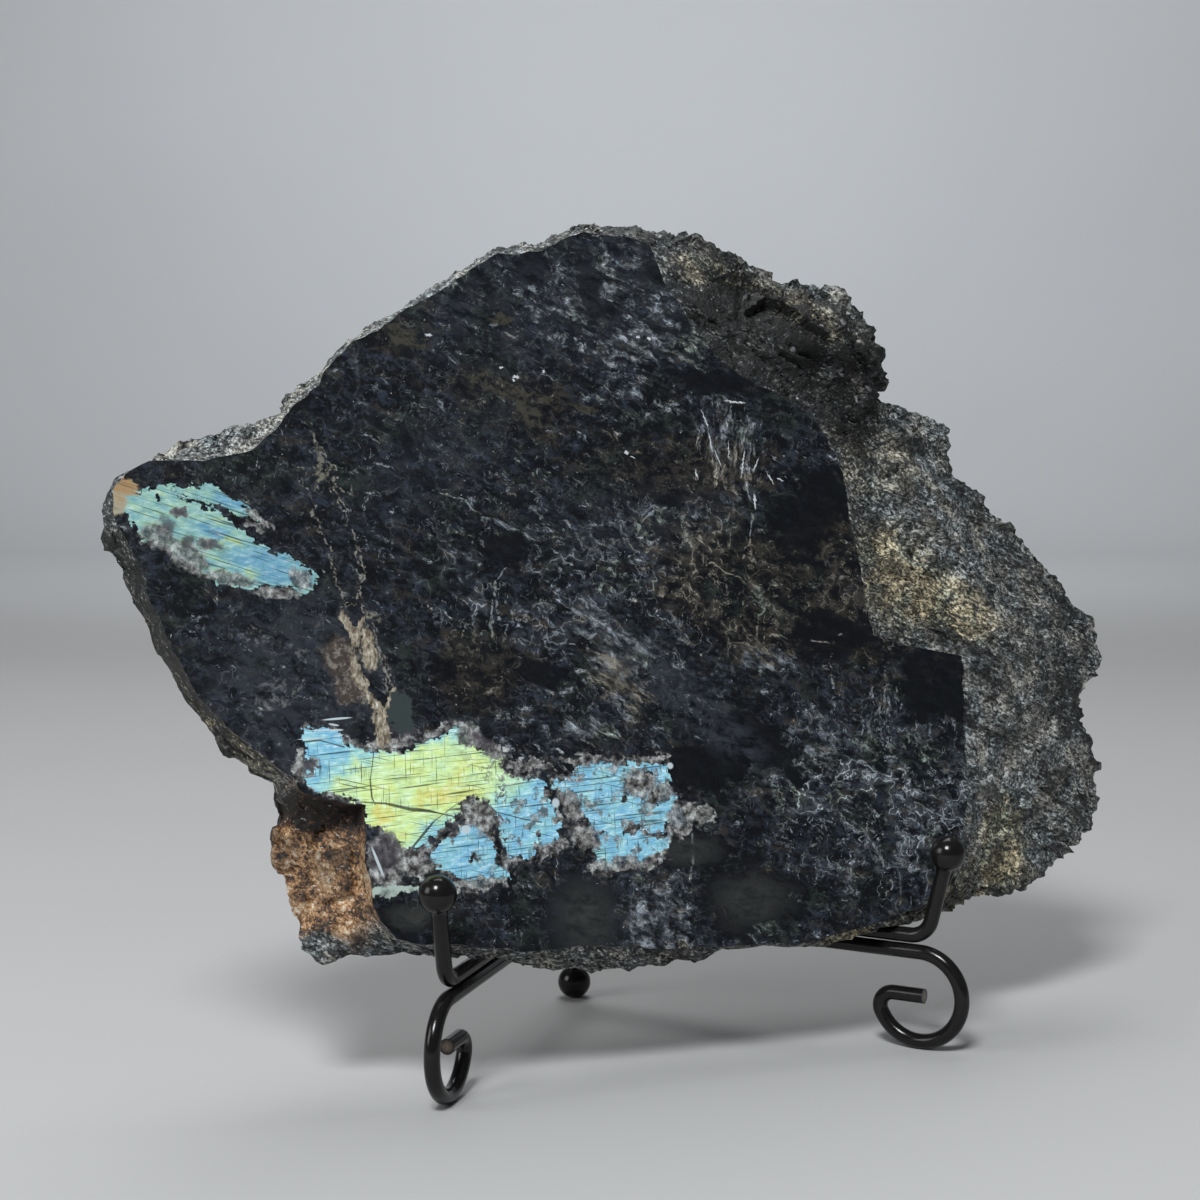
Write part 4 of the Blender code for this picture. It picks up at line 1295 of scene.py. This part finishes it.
def break_surface(points, past):
    """Fine relief on the broken parts, moved along the surface's own direction, in mm:
    layers that are boldest at the upper right, flat chips of three sizes, and grains. Gives
    the points and how high each one ended up.
    """
    blades = zone(points, *BLADES)
    crust = zone(points, *CRUST)
    relief = sum_lumps(points, GRAINS)
    for turn, pitch, seed, height, more in LAYERS:
        relief += (height + more * blades) * ledges(points, turn, pitch, seed) * (1.0 - crust)
    for size, seed, height in CHIPS:
        relief += height * chips(points, size, seed)
    weight = np.clip(past / 2.0, 0, 1) * np.clip(0.35 + past / 12.0, 0, 1)
    relief = relief * weight
    moved = points + surface_normals(points) * relief[..., None]
    on_rim = past > 0
    moved[..., 2] = np.where(on_rim, np.maximum(moved[..., 2], 0.25), moved[..., 2])
    return moved, relief


def face_to_frame(points):
    """Face coordinates in mm to millimetres in the object's frame: the face leans back."""
    across, up, behind = points[..., 0], points[..., 1], points[..., 2]
    y = FACE_FRONT_Y + up * sin(FACE_LEAN) + behind * cos(FACE_LEAN)
    z = FACE_FRONT_Z + up * cos(FACE_LEAN) - behind * sin(FACE_LEAN)
    return np.stack([across - CENTRE[0], y - CENTRE[1], z], axis=-1)


def settle(points):
    """Flattens the two spots that rest: the seat on the wires and the one on the back ball."""
    x = points[..., 0] + CENTRE[0]
    y = points[..., 1] + CENTRE[1]
    z = points[..., 2]
    behind_wires = y > -np.abs(x) / tan(LEG_ANGLE) - SEAT_MARGIN
    seat = behind_wires & (np.abs(x) < SEAT_HALF_WIDTH)
    z = np.where(seat, np.maximum(z, SEAT_Z), z)
    near_rod = (np.abs(x) < BACK_REST_HALF_WIDTH) & (z < BACK_BALL_Z + 2 * BALL_R)
    y = np.where(near_rod, np.minimum(y, BACK_REST_Y), y)
    return np.stack([x - CENTRE[0], y - CENTRE[1], z], axis=-1)


def ring_steps():
    """How many points of each full ring are kept: every 4th inside the face, every one on
    the rim and the wall, and fewer and fewer towards the back's middle.
    """
    face = [4] * (FACE_RINGS - 2) + [2, 1]
    back = [1] * (BACK_RINGS // 3) + [2] * (BACK_RINGS // 3)
    back += [4] * (BACK_RINGS - len(back) - 8) + [8] * 8
    return face + [1] * (RIM_RINGS + WALL_RINGS) + back


def join_rings(counts):
    """Triangles between neighbouring closed rings whose point counts are equal or differ by
    half, with a fan onto one middle point before the first ring and one after the last.
    """
    starts = np.concatenate([[0], np.cumsum(counts)])
    parts = []
    for a, b, m, n in zip(starts[:-2], starts[1:-1], counts[:-1], counts[1:]):
        few = min(m, n)
        i = np.arange(few)
        j = (i + 1) % few
        if m == n:
            parts += [np.stack([a + i, a + j, b + j], 1), np.stack([a + i, b + j, b + i], 1)]
            continue
        fine, coarse = (a, b) if m > n else (b, a)
        half = fine + 2 * i
        after = fine + (2 * i + 2) % (2 * few)
        three = [np.stack([half, half + 1, coarse + i], 1),
                 np.stack([half + 1, after, coarse + j], 1),
                 np.stack([half + 1, coarse + j, coarse + i], 1)]
        parts += three if m > n else [t[:, ::-1] for t in three]
    first, last = starts[-1], starts[-1] + 1
    i = np.arange(counts[0])
    parts.append(np.stack([np.full_like(i, first), (i + 1) % counts[0], i], 1))
    i = np.arange(counts[-1])
    ring = starts[-2]
    parts.append(np.stack([np.full_like(i, last), ring + i, ring + (i + 1) % counts[-1]], 1))
    return np.vstack(parts)


def build_stone(finishes):
    """The whole stone as one closed surface of rings, with its zones stored on its points.
    Each part of the face has the finish that carries what is drawn there.
    """
    rings, rough, inward, past = stone_rings()
    rings = roughen(rings, rough, inward)
    rings, relief = break_surface(rings, past)
    steps = ring_steps()
    flat = np.vstack([row[::step] for row, step in zip(rings, steps)])
    high = np.concatenate([row[::step] for row, step in zip(relief, steps)])
    far = np.concatenate([row[::step] for row, step in zip(past, steps)])
    flat = np.vstack([flat, [[*FACE_MIDDLE, 0.0]], rings[-1].mean(axis=0)[None]])
    high = np.append(high, [0.0, 0.0])
    far = np.append(far, [0.0, 90.0])
    triangles = join_rings([AROUND // step for step in steps])
    names = list(finishes)
    stone = add_piece("stone_slab", settle(face_to_frame(flat)), triangles,
                      [finishes[name] for name in names])
    across, up, behind = flat[triangles].mean(axis=1).T
    chosen = np.full(len(triangles), names.index("foot"))
    for name, (first, last, bottom, top) in FACE_REGIONS.items():
        here = (across >= first) & (across < last) & (up >= bottom) & (up < top)
        chosen[here] = names.index(name)
    on_rock = far[triangles].max(axis=1) > 0
    chosen[on_rock] = names.index("rock")
    most_across, most_up, most_behind = RUSTY_CORNER
    corner = (across < most_across) & (up < most_up) & (behind < most_behind)
    chosen[on_rock & corner] = names.index("corner")
    stone.data.polygons.foreach_set("material_index", chosen.astype(np.int32))
    stone.data.set_sharp_from_angle(angle=STONE_SHARP)
    # Painted shade for the rock's colour: how high the fine relief stands at each point, low in its
    # hollows
    set_values(stone, "hollow", np.clip(0.5 + high / 5.0, 0, 1))
    for name, (start, rows) in FACE_ZONES.items():
        set_values(stone, name, start + sum_zones(flat, rows))
    front = far < STAIN_REACH
    for name, (start, rows) in ROCK_ZONES.items():
        set_values(stone, name, np.clip(start + sum_zones(flat, rows) * front, 0, 1.2))
    return stone


def arc(centre, radius, start, end, step=radians(4)):
    """Points on an arc in a leg's upright plane: (reach, height)."""
    turns = np.linspace(start, end, int(abs(end - start) / step) + 2)
    return np.column_stack([centre[0] + radius * np.cos(turns), centre[1] + radius * np.sin(turns)])


def straight(start, end, step=2.0):
    """Points along a straight run of a path: (reach, height)."""
    start, end = np.array(start, dtype=float), np.array(end, dtype=float)
    count = int(np.linalg.norm(end - start) / step) + 2
    return start + (end - start) * np.linspace(0, 1, count)[:, None]


def join_path(*runs):
    """Runs put end to end, without the points that two runs share."""
    return np.vstack([runs[0]] + [run[1:] for run in runs[1:]])


def foot_path():
    """Level leg above the floor, then a scroll that rolls down, under and back to a short tail."""
    hub = (FOOT_REACH, WIRE_R + SCROLL_R)
    inner = SCROLL_R - SCROLL_CURL_R
    curl = (hub[0] + inner * cos(-SCROLL_TURN), hub[1] + inner * sin(-SCROLL_TURN))
    end = (curl[0], curl[1] + SCROLL_CURL_R)
    return join_path(straight((WIRE_START, LEG_Z), (FOOT_REACH, LEG_Z)),
                     arc(hub, SCROLL_R, radians(90), -SCROLL_TURN),
                     arc(curl, SCROLL_CURL_R, -SCROLL_TURN, radians(-270), radians(8)),
                     straight(end, (end[0] + SCROLL_TAIL, end[1])))


def holder_ball_place():
    """Reach and height of a holder ball's middle, in line with its stem."""
    rise = HOLDER_BALL_Z - HOLDER_Z
    return STEM_REACH + rise * tan(STEM_LEAN), HOLDER_BALL_Z


def holder_path():
    """Wire on top of the leg, bent up and a little outwards in front of the stone."""
    turn = radians(90) - STEM_LEAN
    hub = (STEM_REACH - STEM_BEND_R * tan(turn / 2), HOLDER_Z + STEM_BEND_R)
    bend = arc(hub, STEM_BEND_R, radians(-90), radians(-90) + turn)
    return join_path(straight((WIRE_START, HOLDER_Z), bend[0]), bend,
                     straight(bend[-1], holder_ball_place()))


def weld_swell(path):
    """Wire radii along a path that swell into a weld bead at its start."""
    run = np.linalg.norm(path - path[0], axis=1)
    return WIRE_R * (1.0 + WELD_SWELL * np.exp(-(run / WELD_REACH) ** 2))


def tube(path, radii):
    """A round wire along a path in an upright plane: circles square to the path, closed at
    both ends by a middle point. Returns points (reach, side, height) and triangles.
    """
    forward = np.gradient(path, axis=0)
    forward /= np.linalg.norm(forward, axis=1)[:, None]
    over = np.column_stack([-forward[:, 1], forward[:, 0]])
    turns = np.linspace(0, 2 * pi, WIRE_SIDES, endpoint=False)
    flat = radii[:, None] * np.cos(turns)
    side = radii[:, None] * np.sin(turns)
    reach = path[:, :1] + over[:, :1] * flat
    height = path[:, 1:] + over[:, 1:] * flat
    rings = np.stack([reach, side, height], axis=-1).reshape(-1, 3)
    ends = [[path[0, 0], 0.0, path[0, 1]], [path[-1, 0], 0.0, path[-1, 1]]]
    return np.vstack([rings, ends]), join_rings([WIRE_SIDES] * len(path))


def turn_to_leg(points, side):
    """Puts (reach, side, height) points into the object's frame along a leg."""
    reach, over, height = points.T
    x = side * (reach * sin(LEG_ANGLE) + over * cos(LEG_ANGLE))
    y = -reach * cos(LEG_ANGLE) + over * sin(LEG_ANGLE)
    return np.column_stack([x - CENTRE[0], y - CENTRE[1], height])


def outward_faces(triangles, side):
    """Mirroring turns a surface inside out, so one side's triangles run the other way."""
    return triangles[:, ::-1] if side > 0 else triangles


def add_wire(name, path, side, material, bare_end):
    """A wire of the stand along its path, with a weld at its start. Its far end is painted
    where bare_end is 0, and cut bare where it is 1.
    """
    points, triangles = tube(path, weld_swell(path))
    wire = add_piece(name, turn_to_leg(points, side), outward_faces(triangles, side), [material])
    wire.data.set_sharp_from_angle(angle=WIRE_SHARP)
    bare = np.zeros(len(points))
    bare[-1] = bare_end
    set_values(wire, "bare", bare)
    return wire


def ball_profile(neck_above, neck_below, foot_flat):
    """Radius and height down a ball: a half circle, with a hollow weld neck towards a wire
    above or below, or a small flat where it stands.
    """
    turns = np.linspace(0.0, pi, BALL_ROWS)
    radius = BALL_R * np.sin(turns)
    height = BALL_R * np.cos(turns)
    for sign, wanted in ((1, neck_above), (-1, neck_below)):
        if wanted:
            near = (height * sign > 0) & (radius < NECK_START_R)
            share = np.clip(1 - radius / NECK_START_R, 0, 1)
            radius = np.where(near, NECK_R + (NECK_START_R - NECK_R) * (1 - share) ** 3, radius)
            height = np.where(near, height + sign * NECK_RISE * share, height)
    if foot_flat:
        height = np.maximum(height, -FOOT_Z)
    return radius, height


def add_ball(name, middle, lean, side, material, neck_above=False, neck_below=False,
             foot_flat=False):
    """A turned ball: its profile carried round an axis that may lean along a leg."""
    radius, height = ball_profile(neck_above, neck_below, foot_flat)
    turns = np.linspace(0, 2 * pi, BALL_SIDES, endpoint=False)
    radius[[0, -1]] = np.maximum(radius[[0, -1]], 0.02)
    x = radius[:, None] * np.cos(turns)
    y = radius[:, None] * np.sin(turns)
    z = height[:, None] + 0 * x
    reach = middle[0] + x * cos(lean) + z * sin(lean)
    up = middle[1] + z * cos(lean) - x * sin(lean)
    rings = np.stack([reach, y, up], axis=-1)
    points = np.vstack([rings.reshape(-1, 3), rings[0].mean(axis=0), rings[-1].mean(axis=0)])
    triangles = join_rings([BALL_SIDES] * BALL_ROWS)
    ball = add_piece(name, turn_to_leg(points, side), outward_faces(triangles[:, ::-1], side),
                     [material])
    set_values(ball, "bare", np.zeros(len(points)))
    return ball


def add_rod(name, low, high, material):
    """The upright wire behind the stone, from the foot ball's middle to the rest ball's."""
    rod = straight((0, low), (0, high))
    points, triangles = tube(rod, np.full(len(rod), WIRE_R))
    made = add_piece(name, turn_to_leg(points, 1), outward_faces(triangles, 1), [material])
    set_values(made, "bare", np.zeros(len(points)))
    return made


def build_stand(material):
    """Two legs with holders, the back rod, and four balls, by the solid each one replaces."""
    made = {}
    for label, side in (("left", -1), ("right", 1)):
        made[label + "_foot_wire"] = add_wire(
            label + "_scroll_leg", foot_path(), side, material, 1.0)
        made[label + "_holder_wire"] = add_wire(
            label + "_holder_arm", holder_path(), side, material, 0.0)
        made[label + "_holder_ball"] = add_ball(
            label + "_holder_tip", holder_ball_place(), STEM_LEAN, side, material,
            neck_below=True)
    made["rear_foot_ball"] = add_ball(
        "rear_foot", (0, FOOT_Z), 0, 1, material, neck_above=True, foot_flat=True)
    made["back_rest_ball"] = add_ball(
        "back_rest_tip", (0, BACK_BALL_Z), 0, 1, material, neck_below=True)
    made["back_rest_rod"] = add_rod("upright_rod", FOOT_Z, BACK_BALL_Z, material)
    return made


def build_floor(material):
    """A wide round floor that curves up into a backdrop all round: one profile turned."""
    turns = np.linspace(0, 2 * pi, 96, endpoint=False)
    rise = np.linspace(0, pi / 2, 16)
    radius = np.concatenate([[0.3, 1.0, 2.0], FLOOR_FLAT + FLOOR_BEND * np.sin(rise),
                             [FLOOR_FLAT + FLOOR_BEND]])
    height = np.concatenate([[0, 0, 0], FLOOR_BEND - FLOOR_BEND * np.cos(rise),
                             [FLOOR_BEND + BACKDROP_RISE]])
    x = radius[:, None] * np.cos(turns)
    y = radius[:, None] * np.sin(turns)
    z = height[:, None] + 0 * x
    rings = np.stack([x, y, z], axis=-1).reshape(-1, 3)
    count = len(turns)
    i = np.arange(count)
    j = (i + 1) % count
    quads = [np.stack([r * count + i, r * count + j, (r + 1) * count + j, (r + 1) * count + i], 1)
             for r in range(len(radius) - 1)]
    middle = len(rings)
    mesh = bpy.data.meshes.new("floor")
    fan = np.stack([np.full(count, middle), j, i], 1)
    mesh.from_pydata(np.vstack([rings, [[0, 0, 0]]]), [], np.vstack(quads).tolist() + fan.tolist())
    mesh.materials.append(material)
    mesh.shade_smooth()
    floor = bpy.data.objects.new("floor", mesh)
    bpy.context.collection.objects.link(floor)


def add_camera():
    """A camera where the photograph was taken from, level from side to side."""
    data = bpy.data.cameras.new("camera")
    data.sensor_width = 36.0
    data.lens = CAMERA_LENS
    camera = bpy.data.objects.new("camera", data)
    camera.location = CAMERA_PLACE
    camera.rotation_euler = CAMERA_TURN
    bpy.context.collection.objects.link(camera)
    bpy.context.scene.camera = camera


def add_lamp(name, place, aim, size, power, colour, spread):
    """A square soft light at a place, turned to face its aim. Its spread is in degrees."""
    data = bpy.data.lights.new(name, "AREA")
    data.size = size
    data.energy = power
    data.color = colour
    data.spread = radians(spread)
    lamp = bpy.data.objects.new(name, data)
    lamp.location = place
    toward = np.array(aim, dtype=float) - np.array(place, dtype=float)
    flat = float(np.hypot(toward[0], toward[1]))
    lamp.rotation_euler = (float(np.arctan2(flat, -toward[2])), 0.0,
                           float(np.arctan2(-toward[0], toward[1])))
    bpy.context.collection.objects.link(lamp)


def add_light():
    """A main lamp above the camera's left, a wide one overhead, a weak one at the left, one
    for the backdrop, and a dim room, so that the polished face mirrors little.
    """
    for lamp in LAMPS:
        add_lamp(*lamp)
    world = bpy.data.worlds.new("room")
    world.use_nodes = True
    background = world.node_tree.nodes["Background"]
    background.inputs["Color"].default_value = (*ROOM_COLOUR, 1.0)
    background.inputs["Strength"].default_value = ROOM_STRENGTH
    bpy.context.scene.world = world
    bpy.context.scene.view_settings.view_transform = "Standard"


stone_piece = build_stone(stone_finishes())
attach(stone_piece, "root")
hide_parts("stone")
for node, wire_piece in build_stand(paint_material()).items():
    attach(wire_piece, "root")
    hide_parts(node)

build_floor(floor_material())
add_camera()
add_light()
